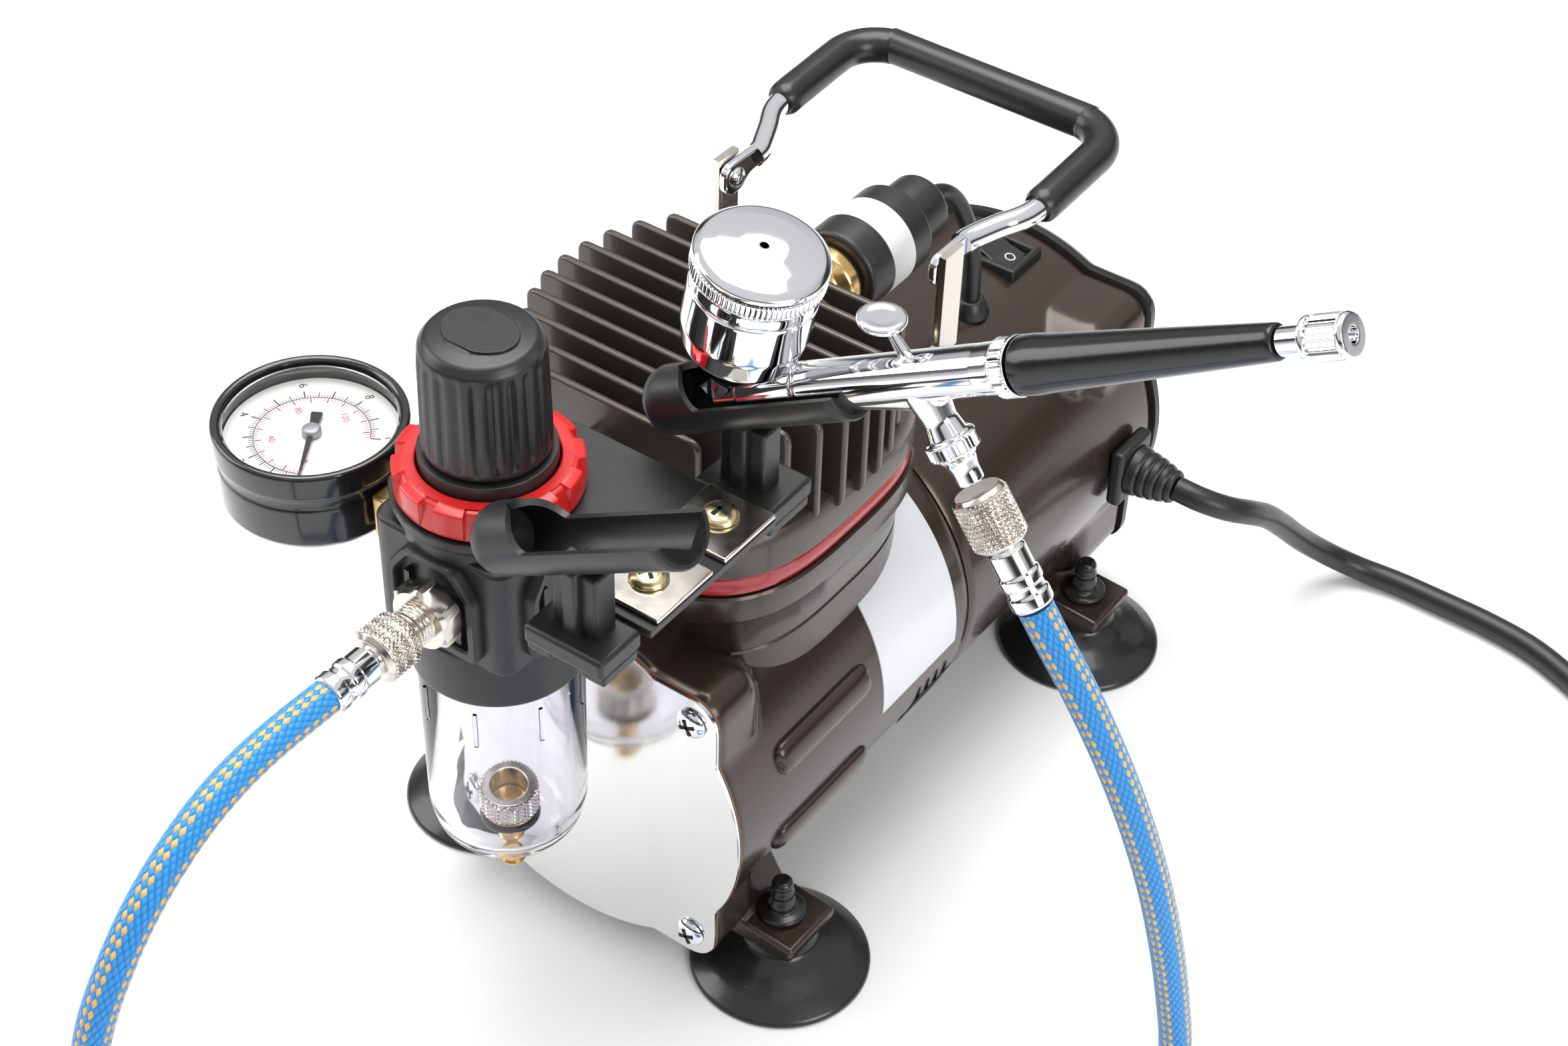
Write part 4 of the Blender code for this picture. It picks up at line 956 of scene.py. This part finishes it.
def trough(name, y, node):
    """A round-ended tube whose upper part is cut away towards its mouth, so each section is an open ring.

    A section's wall runs round the outside from one lip of the opening to the other, and back round the
    inside. The opening is nothing up to 11 mm from the closed end, and grows by a smooth step to 88 degrees
    either way of the top at 19 mm.
    """
    start = np.array([42.5, y, 188.5]) - ALONG * 29.0
    s = np.concatenate(
        [
            [0, 0.25, 0.7, 1.4, 2.4, 3.6, 5.0], np.linspace(6.5, 10.5, 5), np.linspace(11, 21, 30),
            np.linspace(23, 56.5, 20), [57],
        ]
    )
    outer_r = 7.7 * np.sqrt(np.clip(1 - ((6.0 - np.minimum(s, 6.0)) / 6.02) ** 2, 0, 1))
    outer_r = np.maximum(outer_r, 0.4)
    outer_r[-1] -= 0.4
    inner_r = np.where(s > 6.9, 6.2, 0.02)
    inner_r[-1] += 0.3
    part = np.clip((s - 11) / 8, 0, 1)
    gap = radians(88) * part * part * (3 - 2 * part)
    swing = np.linspace(0, 1, 49)[None, :]
    angle = gap[:, None] + (2 * pi - 2 * gap[:, None]) * swing
    both = np.concatenate([angle, angle[:, ::-1]], 1)
    radius = np.concatenate([outer_r[:, None] + 0 * swing, inner_r[:, None] + 0 * swing], 1)
    rows = start + s[:, None, None] * ALONG + (radius * np.cos(both))[..., None] * ABOVE + (
        radius * np.sin(both)
    )[..., None] * ACROSS
    rides(skin(name, rows, satin_black, sharp=50), "root", "black_plastic", node)


for number, (y, base, node) in enumerate(
    ((-140.0, (-148, -134.9), "holder_front"), (BRUSH_Y, (-92, -76), "holder_rear"))
):
    trough(f"trough_{number}", y, node)
    rides(
        block(f"trough_post_{number}", (36.8, y - 3.2, 163), (48.2, y + 3.2, 181), satin_black, 0.8),
        "root", "black_plastic",
    )
    rides(
        block(f"trough_post_rib_{number}", (40.6, y - 5, 163), (44.4, y + 5, 182), satin_black, 0.8),
        "root", "black_plastic",
    )
    rides(
        block(f"trough_foot_{number}", (33, base[0], 160.5), (53, base[1], 165.3), satin_black, 1.0),
        "root", "black_plastic",
    )
    for leg, x in enumerate((34.8, 48.2)):
        rides(
            block(
                f"trough_leg_{number}_{leg}", (x - 1.8, base[0] + 1, 158), (x + 4.6, base[1] - 1, 161),
                satin_black, 0.7,
            ),
            "root", "black_plastic",
        )
for number, (node, y) in enumerate((("clip_plate_front", -123.8), ("clip_plate_rear", -100.0))):
    softened(node, nickel, 0.3, f"bright_clip_{number}", "root", "nickel")
    phillips(f"clip_screw_{number}", (46.1, y, 167.1), (0, 0, 1), 4.2, yellow_zinc, "nickel", 0.9 - number)


# ---------------------------------------------------------------- airbrush
# A gravity-fed airbrush, turned from brass and chromed: a barrel with a cup on it, a stem with the air valve,
# a rocking trigger, and a black tapered handle with a knurled needle knob.

TIP = np.array([27.5, BRUSH_Y, 179.95])
STEM_TILT = radians(-54.4)
STEM = np.array([cos(STEM_TILT), 0.0, sin(STEM_TILT)])
STEM_TOP = np.array([84.4, BRUSH_Y, 208.4])
CUP_AXIS = unit((0.2, 0.0, 0.98))
CUP_TOP = np.array([44.6, BRUSH_Y, 225.5])


def barrel_knurl(angle, r, h):
    """Straight fine grooves round the ring behind the trigger, and nothing elsewhere."""
    return np.where((h > 85.3) & (h < 88.7) & (r > 5), r - 0.15 + 0.15 * np.cos(40 * angle), r)


BARREL = [
    (0, 89), (6.0, 89), (6.0, 85), (5.3, 84.6), (5.15, 80), (5.15, 60), (5.15, 34), (4.95, 33.6),
    (4.95, 33), (5.15, 32.6), (5.15, 17.4), (4.7, 16.8), (4.7, 10.4), (3.7, 8.6), (3.0, 2.2), (1.0, 0.2),
    (0, 0),
]
rides(
    lathe("airbrush_barrel", BARREL, TIP, ALONG, chrome, 160, 0.25, ripple=barrel_knurl, step=0.8),
    "airbrush", "chrome", "airbrush_body",
)
fairing_from, fairing_to = TIP + ALONG * 40 - ABOVE * 2.0, TIP + ALONG * 68 - ABOVE * 4.4
fairing_axis = fairing_to - fairing_from
fairing_length = float(np.linalg.norm(fairing_axis))
FAIRING = [
    (0, fairing_length), (2.4, fairing_length - 0.2), (3.4, fairing_length - 2), (3.4, 3), (2.2, 0.3),
    (0, 0),
]
rides(lathe("barrel_fairing", FAIRING, fairing_from, fairing_axis, chrome, 64, 0.8), "airbrush", "chrome")


def cup_knurl(angle, r, h):
    """Fine straight grooves in the rolled edge under the lid."""
    return np.where((h > -6) & (h < -2.9) & (r > 13), r - 0.14 + 0.14 * np.cos(90 * angle), r)


CUP = [
    (12.7, -2.7), (14.1, -2.8), (14.1, -6.0), (13.5, -6.4), (13.5, -9.4), (13.3, -9.6), (13.3, -10.1),
    (13.5, -10.3), (13.5, -20), (12.4, -25.4), (9.2, -30), (6.0, -32.6), (4.8, -35), (4.5, -41),
    (0.4, -41), (0.4, -31.5), (2, -31.4), (7.6, -29.4), (11, -25), (12.7, -20),
]
rides(
    lathe("colour_cup", CUP, CUP_TOP, CUP_AXIS, chrome, 270, 0.6, True, cup_knurl, 0.9), "airbrush",
    "chrome",
)
LID = [
    (0.9, 0.75), (0.9, 1.15), (5, 1.05), (9.5, 0.55), (12.6, -0.05), (14.1, -1.2), (14.1, -2.4),
    (12.3, -2.4), (12.3, -4.5), (0.9, -4.5),
]
lid = lathe("domed_lid", LID, CUP_TOP, CUP_AXIS, chrome, 128, 0.5, True)
rides(lid, "lid", "chrome", "cup_lid")
STEM_PROFILE = [
    (0, 20), (2.8, 20), (2.8, 17), (3.4, 14.6), (4.4, 13.3), (5.4, 12.9), (5.4, 9.6), (4.2, 9.2),
    (3.5, 5.5), (4.2, 1), (4.6, -2), (4.6, -6), (0, -6),
]


def collar_knurl(angle, r, h):
    """Straight grooves round the stem's collar, and nothing elsewhere."""
    return np.where((h > 10) & (h < 12.6) & (r > 5), r - 0.18 + 0.18 * np.cos(36 * angle), r)


rides(
    lathe("valve_stem", STEM_PROFILE, STEM_TOP, STEM, chrome, 144, 0.5, ripple=collar_knurl, step=0.5),
    "airbrush", "chrome",
)
rides(
    lathe("valve_plunger", [(0, 12), (1.5, 12), (1.5, -4), (0, -4)], STEM_TOP, STEM, nickel, 32, 0.2),
    "valve", "nickel", "air_valve_plunger",
)
fitting_skins("hose_fitting_rear", STEM_TOP, STEM, "airbrush", "hose_fitting_b", 5.7, 22, 12.6, 49, 4.5)

TRIGGER_FOOT = TIP + ALONG * 63.0 + ABOVE * 0.6
TRIGGER_TOP = TIP + ALONG * 60.5 + ABOVE * 12.0
post_axis = TRIGGER_TOP - TRIGGER_FOOT
POST = [(0, 12), (1.6, 12), (1.0, 9), (1.35, 5), (1.35, 1.2), (0, 1.2)]
rides(lathe("trigger_post", POST, TRIGGER_FOOT, post_axis, chrome, 40, 0.6), "trigger", "chrome", "trigger")
pad_rings = [
    (0, 0.9), (2.4, 0.85), (4.0, 1.15), (4.9, 0.9), (5.2, 0.1), (4.4, -0.9), (2.0, -1.6), (0, -1.7),
]
rides(
    lathe(
        "trigger_pad", pad_rings, TIP + ALONG * 60 + ABOVE * 12.6, ABOVE * 0.86 + ALONG * 0.5, chrome, 64,
        0.7,
    ),
    "trigger", "chrome",
)

handle_black = material("handle_black", (0.011, 0.011, 0.012), 0.2, 0.22, 0.3, 0.01, 0.06, coat=0.25)
HANDLE = [(0, 146.3), (3.2, 146.3), (3.5, 145.6), (4.4, 125), (5.6, 97), (5.9, 93), (5.9, 89.4), (0, 89.4)]
rides(
    lathe("tapered_handle", HANDLE, TIP, ALONG, handle_black, 96, 0.9), "airbrush", "airbrush_black",
    "airbrush_handle",
)


def knob_knurl(angle, r, h):
    """Straight grooves along the needle knob, between its two plain rims."""
    return np.where((h > 153.4) & (h < 159.6) & (r > 3.8), r - 0.2 + 0.2 * np.cos(26 * angle), r)


NEEDLE_KNOB = [
    (0, 158.5), (1.5, 158.5), (1.5, 161), (3.8, 161), (4.2, 160.4), (4.2, 159.9), (3.95, 159.7),
    (4.2, 159.5), (4.2, 153.2), (3.9, 153), (4.2, 152.6), (4.2, 152), (2.7, 151.6), (2.7, 146.7),
    (0, 146.7),
]
rides(
    lathe("knurled_end", NEEDLE_KNOB, TIP, ALONG, chrome, 156, 0.2, ripple=knob_knurl, step=0.4),
    "needle_stop", "chrome", "needle_knob",
)


# ---------------------------------------------------------------- carrying handle
# A chromed bar with a thick black vinyl grip, whose flattened ends turn on pins through two nickel brackets.

HINGE_Y, HINGE_Z = 8.7, 161.5


def sweep(name, route, radii, look, around=32, sharp=50):
    """A circle carried along a route, its frame turned no more than the route turns, with closed ends.

    Its UV map runs along the route in millimetres, and once round it from 0 to 1.
    """
    route = np.asarray(route, float)
    tangent = np.gradient(route, axis=0)
    tangent /= np.linalg.norm(tangent, axis=1, keepdims=True)
    side = np.empty_like(route)
    side[0] = unit(np.cross(tangent[0], (0.31, 0.22, 0.92)))
    for k in range(1, len(route)):
        kept = side[k - 1] - tangent[k] * np.dot(side[k - 1], tangent[k])
        side[k] = kept / np.linalg.norm(kept)
    over = np.cross(tangent, side)
    angle = np.linspace(0, 2 * pi, around, endpoint=False)[None, :, None]
    radii = np.broadcast_to(np.asarray(radii, float), (len(route),))[:, None, None]
    rows = route[:, None] + radii * (np.cos(angle) * side[:, None] + np.sin(angle) * over[:, None])
    index = np.arange(len(route) * around).reshape(-1, around)
    near, far = index[:-1], index[1:]
    faces = np.stack([near, np.roll(near, -1, 1), np.roll(far, -1, 1), far], -1).reshape(-1, 4)
    length = np.concatenate([[0], np.cumsum(np.linalg.norm(np.diff(route, axis=0), axis=1))])
    u = np.broadcast_to(
        np.stack([length[:-1], length[:-1], length[1:], length[1:]], -1)[:, None],
        (len(route) - 1, around, 4),
    )
    turns = np.arange(around) / around
    v = np.broadcast_to(np.stack([turns, turns + 1 / around, turns + 1 / around, turns], -1)[None], u.shape)
    uv = np.stack([u, v], -1).reshape(-1, 2)
    verts = np.concatenate([rows.reshape(-1, 3), route[:1], route[-1:]])
    caps = []
    for ring, middle in ((index[0], len(verts) - 2), (index[-1][::-1], len(verts) - 1)):
        caps += np.stack([np.roll(ring, -1), ring, np.full(around, middle)], -1).tolist()
    uv = np.concatenate([uv, np.zeros((3 * len(caps), 2))])
    return new_piece(name, verts, faces.tolist() + caps, look, sharp, uv)


def smooth_route(places, spacing, lowest=-1e9):
    """Points a spacing apart along a Catmull-Rom curve through the places, none below the lowest."""
    p = np.asarray(places, float)
    p = np.concatenate([[2 * p[0] - p[1]], p, [2 * p[-1] - p[-2]]])
    a, b, c, d = (p[k:len(p) - 3 + k, None] for k in range(4))
    t = np.linspace(0, 1, 24, endpoint=False)[None, :, None]
    fine = 0.5 * (2 * b + (c - a) * t + (2 * a - 5 * b + 4 * c - d) * t**2 + (3 * b - a - 3 * c + d) * t**3)
    fine = np.concatenate([fine.reshape(-1, 3), p[-2:-1]])
    length = np.concatenate([[0], np.cumsum(np.linalg.norm(np.diff(fine, axis=0), axis=1))])
    want = np.linspace(0, length[-1], max(2, round(length[-1] / spacing)) + 1)
    found = np.stack([np.interp(want, length, fine[:, k]) for k in range(3)], -1)
    found[:, 2] = np.maximum(found[:, 2], lowest)
    return found


def mirrored(half_route):
    """A route in full from its left half."""
    other = np.asarray(half_route, float)[::-1] * (-1, 1, 1)
    return np.concatenate([half_route, other])


quarter = np.radians(np.linspace(180, 90, 13))
bend = np.stack(
    [-26.5 + 12 * np.cos(quarter), 65 + 12 * np.sin(quarter), np.linspace(165.6, 166.0, 13)], -1,
)
ARM = [
    (-30.6, 17, 163.0), (-30.9, 20, 163.1), (-34, 27.5, 163.8), (-37.2, 34, 164.3), (-38.3, 40, 164.6),
    (-38.4, 50, 165.0), (-38.45, 58, 165.3),
]
bar_route = smooth_route(mirrored(np.concatenate([smooth_route(ARM, 2.5), bend])), 1.5)
rides(sweep("chrome_bar", bar_route, 3.0, chrome), "handle", "chrome", "handle_bar")
grip_vinyl = material("grip_vinyl", (0.012, 0.012, 0.013), 0.0, 0.30, 0.6, 0.02, 0.08)
grip_start = [(-38.2, 39, 164.5), (-38.4, 44, 164.8), (-38.45, 52, 165.1), (-38.5, 59, 165.4)]
grip_route = smooth_route(mirrored(np.concatenate([smooth_route(grip_start, 2.5), bend])), 1.2)
end_distance = np.minimum(np.arange(len(grip_route)), np.arange(len(grip_route))[::-1]) * 1.2
grip_radii = 4.6 - 0.9 * np.exp(-end_distance / 0.7)
rides(sweep("vinyl_grip", grip_route, grip_radii, grip_vinyl, 40), "handle", "grip_vinyl", "handle_grip")
FLAT_END = rounded(
    [(4, 159.5), (6, 157), (11, 157), (14, 159.8), (23, 160.6), (23, 165.6), (12, 166), (6, 166), (4, 164)],
    1.5, True,
)
for side, hand in ((-1, "left"), (1, "right")):
    low, high = sorted((side * 29.5, side * 31.7))
    rides(slab(f"flattened_end_{hand}", FLAT_END, low, high, "X", chrome, 0.6), "handle", "chrome")
    RIVET = [(0, 1.5), (1.6, 1.3), (2.6, 0.5), (2.8, 0), (0, 0)]
    rivet = lathe(
        f"hinge_rivet_{hand}", RIVET, (side * 29.5, HINGE_Y, HINGE_Z), (-side, 0, 0), chrome, 40, 0.4,
    )
    rides(rivet, "handle", "chrome")
    softened(f"handle_bracket_{hand}", nickel, 0.35, f"nickel_bracket_{hand}", "root", "nickel")
    phillips(f"bracket_screw_{hand}", (side * 28.4, -4.5, 139.8), (0, 0, 1), 2.9, nickel, "nickel")


# ---------------------------------------------------------------- pressure switch and its cable
# A brass neck screws into the head and carries a black drum with a white band round it, closed by a black
# cap. A black cable comes out of the cap and bends down into a grommet in the motor's housing.

SWITCH = np.array([3.5, 0.0, 149.5])
neck = [(0, 11.5), (8.4, 11.5), (9.2, 10.6), (9.2, 7), (6.4, 4.6), (6.2, 0), (0, 0)]
rides(
    lathe("switch_neck", neck, SWITCH + (0, -8, 0), ACROSS, brass_gold, 72, 0.8), "root", "brass",
    "switch_base",
)
drum = [(0, 26.2), (11, 26.2), (11.8, 25.4), (11.8, 0.8), (11, 0), (0, 0)]
rides(
    lathe("switch_drum", drum, SWITCH + (0, 3.8, 0), ACROSS, satin_black, 96, 0.5), "root", "black_plastic",
    "switch_body",
)
band_white = material("band_white", (0.68, 0.69, 0.70), 0.0, 0.4, 0.8, 0.004, 0.05, 0.03)
rides(
    lathe(
        "switch_band", [(11.85, 9), (11.85, 0), (11.5, 0), (11.5, 9)], SWITCH + (0, 13, 0), ACROSS,
        band_white, 96, 0.1, True,
    ),
    "root", "black_plastic",
)
cap = [(0, 12.7), (7.0, 12.7), (8.6, 11.2), (8.6, 0), (0, 0)]
rides(
    lathe("switch_end_cap", cap, SWITCH + (0, 30.3, 0), ACROSS, satin_black, 72, 1.0), "root",
    "black_plastic", "switch_cap",
)
CABLE = [
    (3.5, 43.0, 149.5), (3.6, 48, 149.2), (4.2, 53, 147), (5.4, 57, 142.5), (7.2, 59.2, 136),
    (9, 59.6, 129), (10.2, 59.3, 122), (10.6, 59, 115), (10.6, 59, 109),
]
cord_black = material("cord_black", (0.012, 0.012, 0.012), 0.0, 0.38, 0.6, 0.02, 0.07)
rides(sweep("switch_lead", smooth_route(CABLE, 1.2), 2.4, cord_black), "root", "cord_black", "switch_cable")
GROMMET = [(0, 5), (3.4, 5), (4.6, 2.6), (5.4, 0), (0, 0)]
rides(lathe("cable_grommet", GROMMET, (10.6, 59, 108.6), UP, cord_black, 64, 0.7), "root", "cord_black")


# ---------------------------------------------------------------- power switch, strain relief and plug
# A rocker switch in its bezel on top of the motor, marked with a plain ring. On the right the cord comes out
# of a ribbed rubber strain relief, and it ends in a moulded two-pin plug.

softened("rocker_bezel", satin_black, 0.6, "switch_bezel", "root", "black_plastic")
softened("power_rocker", gloss_black, 0.4, "switch_rocker", "rocker", "black_plastic")
mark_angle = np.linspace(0, 2 * pi, 48, endpoint=False)
print_white = material("print_white", (0.7, 0.7, 0.7), 0.0, 0.4, 1.0, 0.002)
mark_rows = []
for radius, lift in ((1.5, 0.02), (1.5, 0.07), (1.15, 0.07), (1.15, 0.02)):
    x = 7.4 + radius * np.cos(mark_angle)
    mark_rows.append(np.stack([x, 84 + radius * np.sin(mark_angle), 111.2 - (x - 5) * 0.154 + lift], -1))
rides(skin("rocker_mark", mark_rows, print_white, loop=True), "rocker", "black_plastic")

GLAND = np.array([0.0, 82.0, AXIS_Z])
rides(
    block("gland_flange", (49.8, 74, 52), (54, 90, 70), cord_black, 1.4), "root", "black_plastic",
    "cord_gland",
)


def grooved(angle, r, h):
    """Half-round grooves every 2.6 mm along the strain relief."""
    return np.where((h > 1.5) & (h < 12), r - 0.45 * np.maximum(np.sin(2 * pi * h / 2.6), 0), r)


NOSE = [(0, 13), (4.5, 13), (5.0, 11.5), (6.2, 7), (7.4, 0), (0, 0)]
rides(
    lathe(
        "strain_relief", NOSE, GLAND + (54, 0, 0), (1, 0, 0), cord_black, 72, 0.5, ripple=grooved, step=0.2,
    ),
    "root", "cord_black",
)
plug = softened("power_plug", cord_black, 0.0, "moulded_plug", "root", "black_plastic")


# ---------------------------------------------------------------- hose
# A braided air hose, blue with yellow flecks, from the regulator's fitting to the airbrush. Its two leads are
# listed point by point; what is left over lies in a neat coil on the floor, two turns wide and two high.

HOSE_D = 7.7
HOSE_COIL = (112.0, -172.0)


def coil_route(centre, middle_r, thickness, turns=4.25):
    """Points of a neat coil: an outer and an inner turn, then an inner and an outer one on top of them.

    It starts at the south heading east. Each change of radius or height is a smooth step over the first 80
    degrees of its turn.
    """
    angle = np.linspace(0, 360 * turns, round(48 * turns) + 1)
    turn_number = np.minimum(angle // 360, 3).astype(int)
    part = np.clip((angle - 360 * turn_number) / 80, 0, 1)
    ease = part * part * (3 - 2 * part)
    wide = np.array([1, 1, -1, -1, 1])
    tall = np.array([1, 1, 1, 3, 3])
    across = wide[turn_number] * (1 - ease) + wide[turn_number + 1] * ease
    height = (tall[turn_number] * (1 - ease) + tall[turn_number + 1] * ease) * thickness / 2
    r = middle_r + across * thickness / 2
    bearing = np.radians(angle - 90)
    return np.stack([centre[0] + r * np.cos(bearing), centre[1] + r * np.sin(bearing), height], -1)


LEAD_A = [
    (2.5, -174.4, 147), (2.5, -186, 147.3), (2.4, -198, 146.3), (2.2, -209, 143), (2, -219, 137.5),
    (1.6, -228, 130), (1, -236, 120), (0, -242.5, 107.5), (-1, -247, 90), (-1.5, -250, 70),
    (-1, -252.5, 50), (1, -256, 31), (7, -260.5, 15), (18, -263, 5.5), (31, -260.5, 3.9),
    (43, -253.5, 3.9), (54, -243.5, 3.9), (64, -231.5, 3.9), (73.5, -222.3, 3.9), (83.2, -218.4, 3.9),
    (97, -218.2, 3.9), (112, -218.2, 3.9),
]
LEAD_B = [
    (158.2, -172, 11.55), (158.3, -158, 11.2), (158.4, -143, 9.5), (159.6, -131, 6.3), (161.2, -118, 4.2),
    (161.8, -105, 3.9), (160.6, -92, 5.5), (158.5, -80, 12), (156.4, -71.5, 24), (154, -68, 40),
    (151.3, -69, 58), (148.6, -71.5, 76), (144.6, -74.5, 96), (139.3, -77.5, 115), (132.5, -80.2, 133),
    (124.5, -82.5, 149.5), (117.3, -84, 161.5), (113.1, -84.5, 168.2),
]


def weave(name, ground, fleck):
    """A braid drawn over the hose's own UV map, 16 strands each way, each strand 2.6 mm along the hose.

    u, in millimetres along, and v, once round, give two diagonals, u/2.6 + 16v and u/2.6 - 16v. Where the sum
    of their whole parts is even, a strand of the first way is on top. It is yellow on some of the lines along
    the hose, which the difference of the whole parts counts. The relief is the product of the diagonals' half
    waves. The colour follows the relief down to 0.35 of the ground colour between the strands, painted shade
    in the braid's creases, and the yellow fades out there too.
    """
    made = bpy.data.materials.new(name)
    made.use_nodes = True
    nodes, links = made.node_tree.nodes, made.node_tree.links
    shader = nodes["Principled BSDF"]
    shader.inputs["Roughness"].default_value = 0.42
    shader.inputs["Sheen Weight"].default_value = 0.15

    def maths(operation, first, second=None):
        """The output of one maths node, fed from other outputs or from plain numbers."""
        node = nodes.new("ShaderNodeMath")
        node.operation = operation
        for socket, value in zip(node.inputs, (first, second)):
            if isinstance(value, bpy.types.NodeSocket):
                links.new(value, socket)
            elif value is not None:
                socket.default_value = value
        return node.outputs[0]

    mapped = nodes.new("ShaderNodeUVMap")
    mapped.uv_map = "along_and_around"
    parts = nodes.new("ShaderNodeSeparateXYZ")
    links.new(mapped.outputs["UV"], parts.inputs[0])
    along = maths("DIVIDE", parts.outputs["X"], 2.6)
    around = maths("MULTIPLY", parts.outputs["Y"], 16.0)
    first, second = maths("ADD", along, around), maths("SUBTRACT", along, around)
    first_cell, second_cell = maths("FLOOR", first), maths("FLOOR", second)
    on_top = maths("LESS_THAN", maths("FLOORED_MODULO", maths("ADD", first_cell, second_cell), 2.0), 0.5)
    third = maths(
        "LESS_THAN", maths("FLOORED_MODULO", maths("SUBTRACT", first_cell, second_cell), 8.0), 3.5,
    )
    yellow = maths("MULTIPLY", on_top, third)
    angles = [maths("MULTIPLY", diagonal, pi) for diagonal in (first, second)]
    waves = [maths("ABSOLUTE", maths("SINE", angle)) for angle in angles]
    lift = maths("MULTIPLY", *waves)
    # Painted shade: the ground darkens to 0.35 of itself where the relief falls between the strands.
    shade = nodes.new("ShaderNodeMixRGB")
    shade.inputs["Color1"].default_value = (*[c * 0.35 for c in ground], 1)
    shade.inputs["Color2"].default_value = (*ground, 1)
    links.new(maths("POWER", lift, 0.35), shade.inputs["Fac"])
    mixed = nodes.new("ShaderNodeMixRGB")
    mixed.inputs["Color2"].default_value = (*fleck, 1)
    links.new(maths("MULTIPLY", yellow, maths("POWER", lift, 0.25)), mixed.inputs["Fac"])
    links.new(shade.outputs["Color"], mixed.inputs["Color1"])
    links.new(mixed.outputs["Color"], shader.inputs["Base Color"])
    relief = nodes.new("ShaderNodeBump")
    relief.inputs["Distance"].default_value = 0.25 * MM
    links.new(lift, relief.inputs["Height"])
    links.new(relief.outputs["Normal"], shader.inputs["Normal"])
    return made


def whole_route(first, coil, last, spacing, diameter):
    """One smooth line through a lead, the coil and another lead, resting on the floor at its lowest.

    Each lead is first given points as close together as the coil's, so that the line bends evenly where
    they meet.
    """
    apart = float(np.linalg.norm(coil[1] - coil[0]))
    first, last = smooth_route(first, apart), smooth_route(last, apart)
    return smooth_route(np.concatenate([first, coil[1:-1], last]), spacing, diameter / 2)


hose_route = whole_route(LEAD_A, coil_route(HOSE_COIL, 5.5 * HOSE_D, HOSE_D), LEAD_B, 2.5, HOSE_D)
hose = sweep(
    "braided_hose", hose_route, HOSE_D / 2, weave("hose_braid", (0.008, 0.30, 0.80), (0.80, 0.46, 0.04)),
    32,
)
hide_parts("hose_lead_a", "hose_lead_b", "hose_coil")
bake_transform(hose)


# ---------------------------------------------------------------- power cord
# A round black mains cord, of the kind sold as 1.5 m and a little shorter as it lies here. It runs out of
# the strain relief to the floor and away to a neat coil, with its plug beside it.

CORD_D = 7.0
CORD_COIL = (229.5, 171.5)
CORD_LEAD = [
    (67.2, 82, 61), (74, 82.9, 60), (80.2, 87, 57.2), (83.6, 95, 52), (84.9, 105.5, 44),
    (85.8, 117, 32.8), (87.8, 128.5, 20.6), (92.5, 138, 11), (101, 144.4, 5), (113, 147, 3.6),
    (128, 147.2, 3.6), (142, 147, 3.6), (157, 145, 3.6), (173, 139, 3.6), (188, 132, 3.6),
    (203, 127.5, 3.6), (216, 126, 3.5), (229.5, 126, 3.5),
]
PLUG_AT = (CORD_COIL[0] + 6 * CORD_D + 3.5, CORD_COIL[1] + 27, 13.2)
plug_lead = [
    (PLUG_AT[0], CORD_COIL[1], 10.5), (PLUG_AT[0], PLUG_AT[1] - 18, 11.2),
    (PLUG_AT[0], PLUG_AT[1] - 8, 12.4), (PLUG_AT[0], PLUG_AT[1] + 2, 13.2),
]
cord_route = whole_route(CORD_LEAD, coil_route(CORD_COIL, 6 * CORD_D, CORD_D), plug_lead, 3.0, CORD_D)
cord = sweep("power_cord", cord_route, CORD_D / 2, cord_black, 24)
rides(cord, "root", "cord_black", "power_lead", "power_coil")


# ---------------------------------------------------------------- inside the motor and the pump
# The stator, rotor, fan, crank, connecting rod, sleeve and spindle keep the model's own shapes, in plain
# machined steel, cast aluminium and moulded plastic.

motor_steel = material("motor_steel", (0.55, 0.55, 0.56), 1.0, 0.35, 0.4, 0.01)
rod_aluminium = material("rod_aluminium", (0.62, 0.62, 0.62), 1.0, 0.48, 0.4, 0.03)
INSIDE = {
    "stator": motor_steel, "rotor_shaft": motor_steel, "crank_disc": motor_steel,
    "cylinder_sleeve": motor_steel,
    "adjusting_spindle": motor_steel, "connecting_rod": rod_aluminium, "cooling_fan": satin_black,
}
for node, look in INSIDE.items():
    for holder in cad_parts[node].material_slots:
        holder.material = look
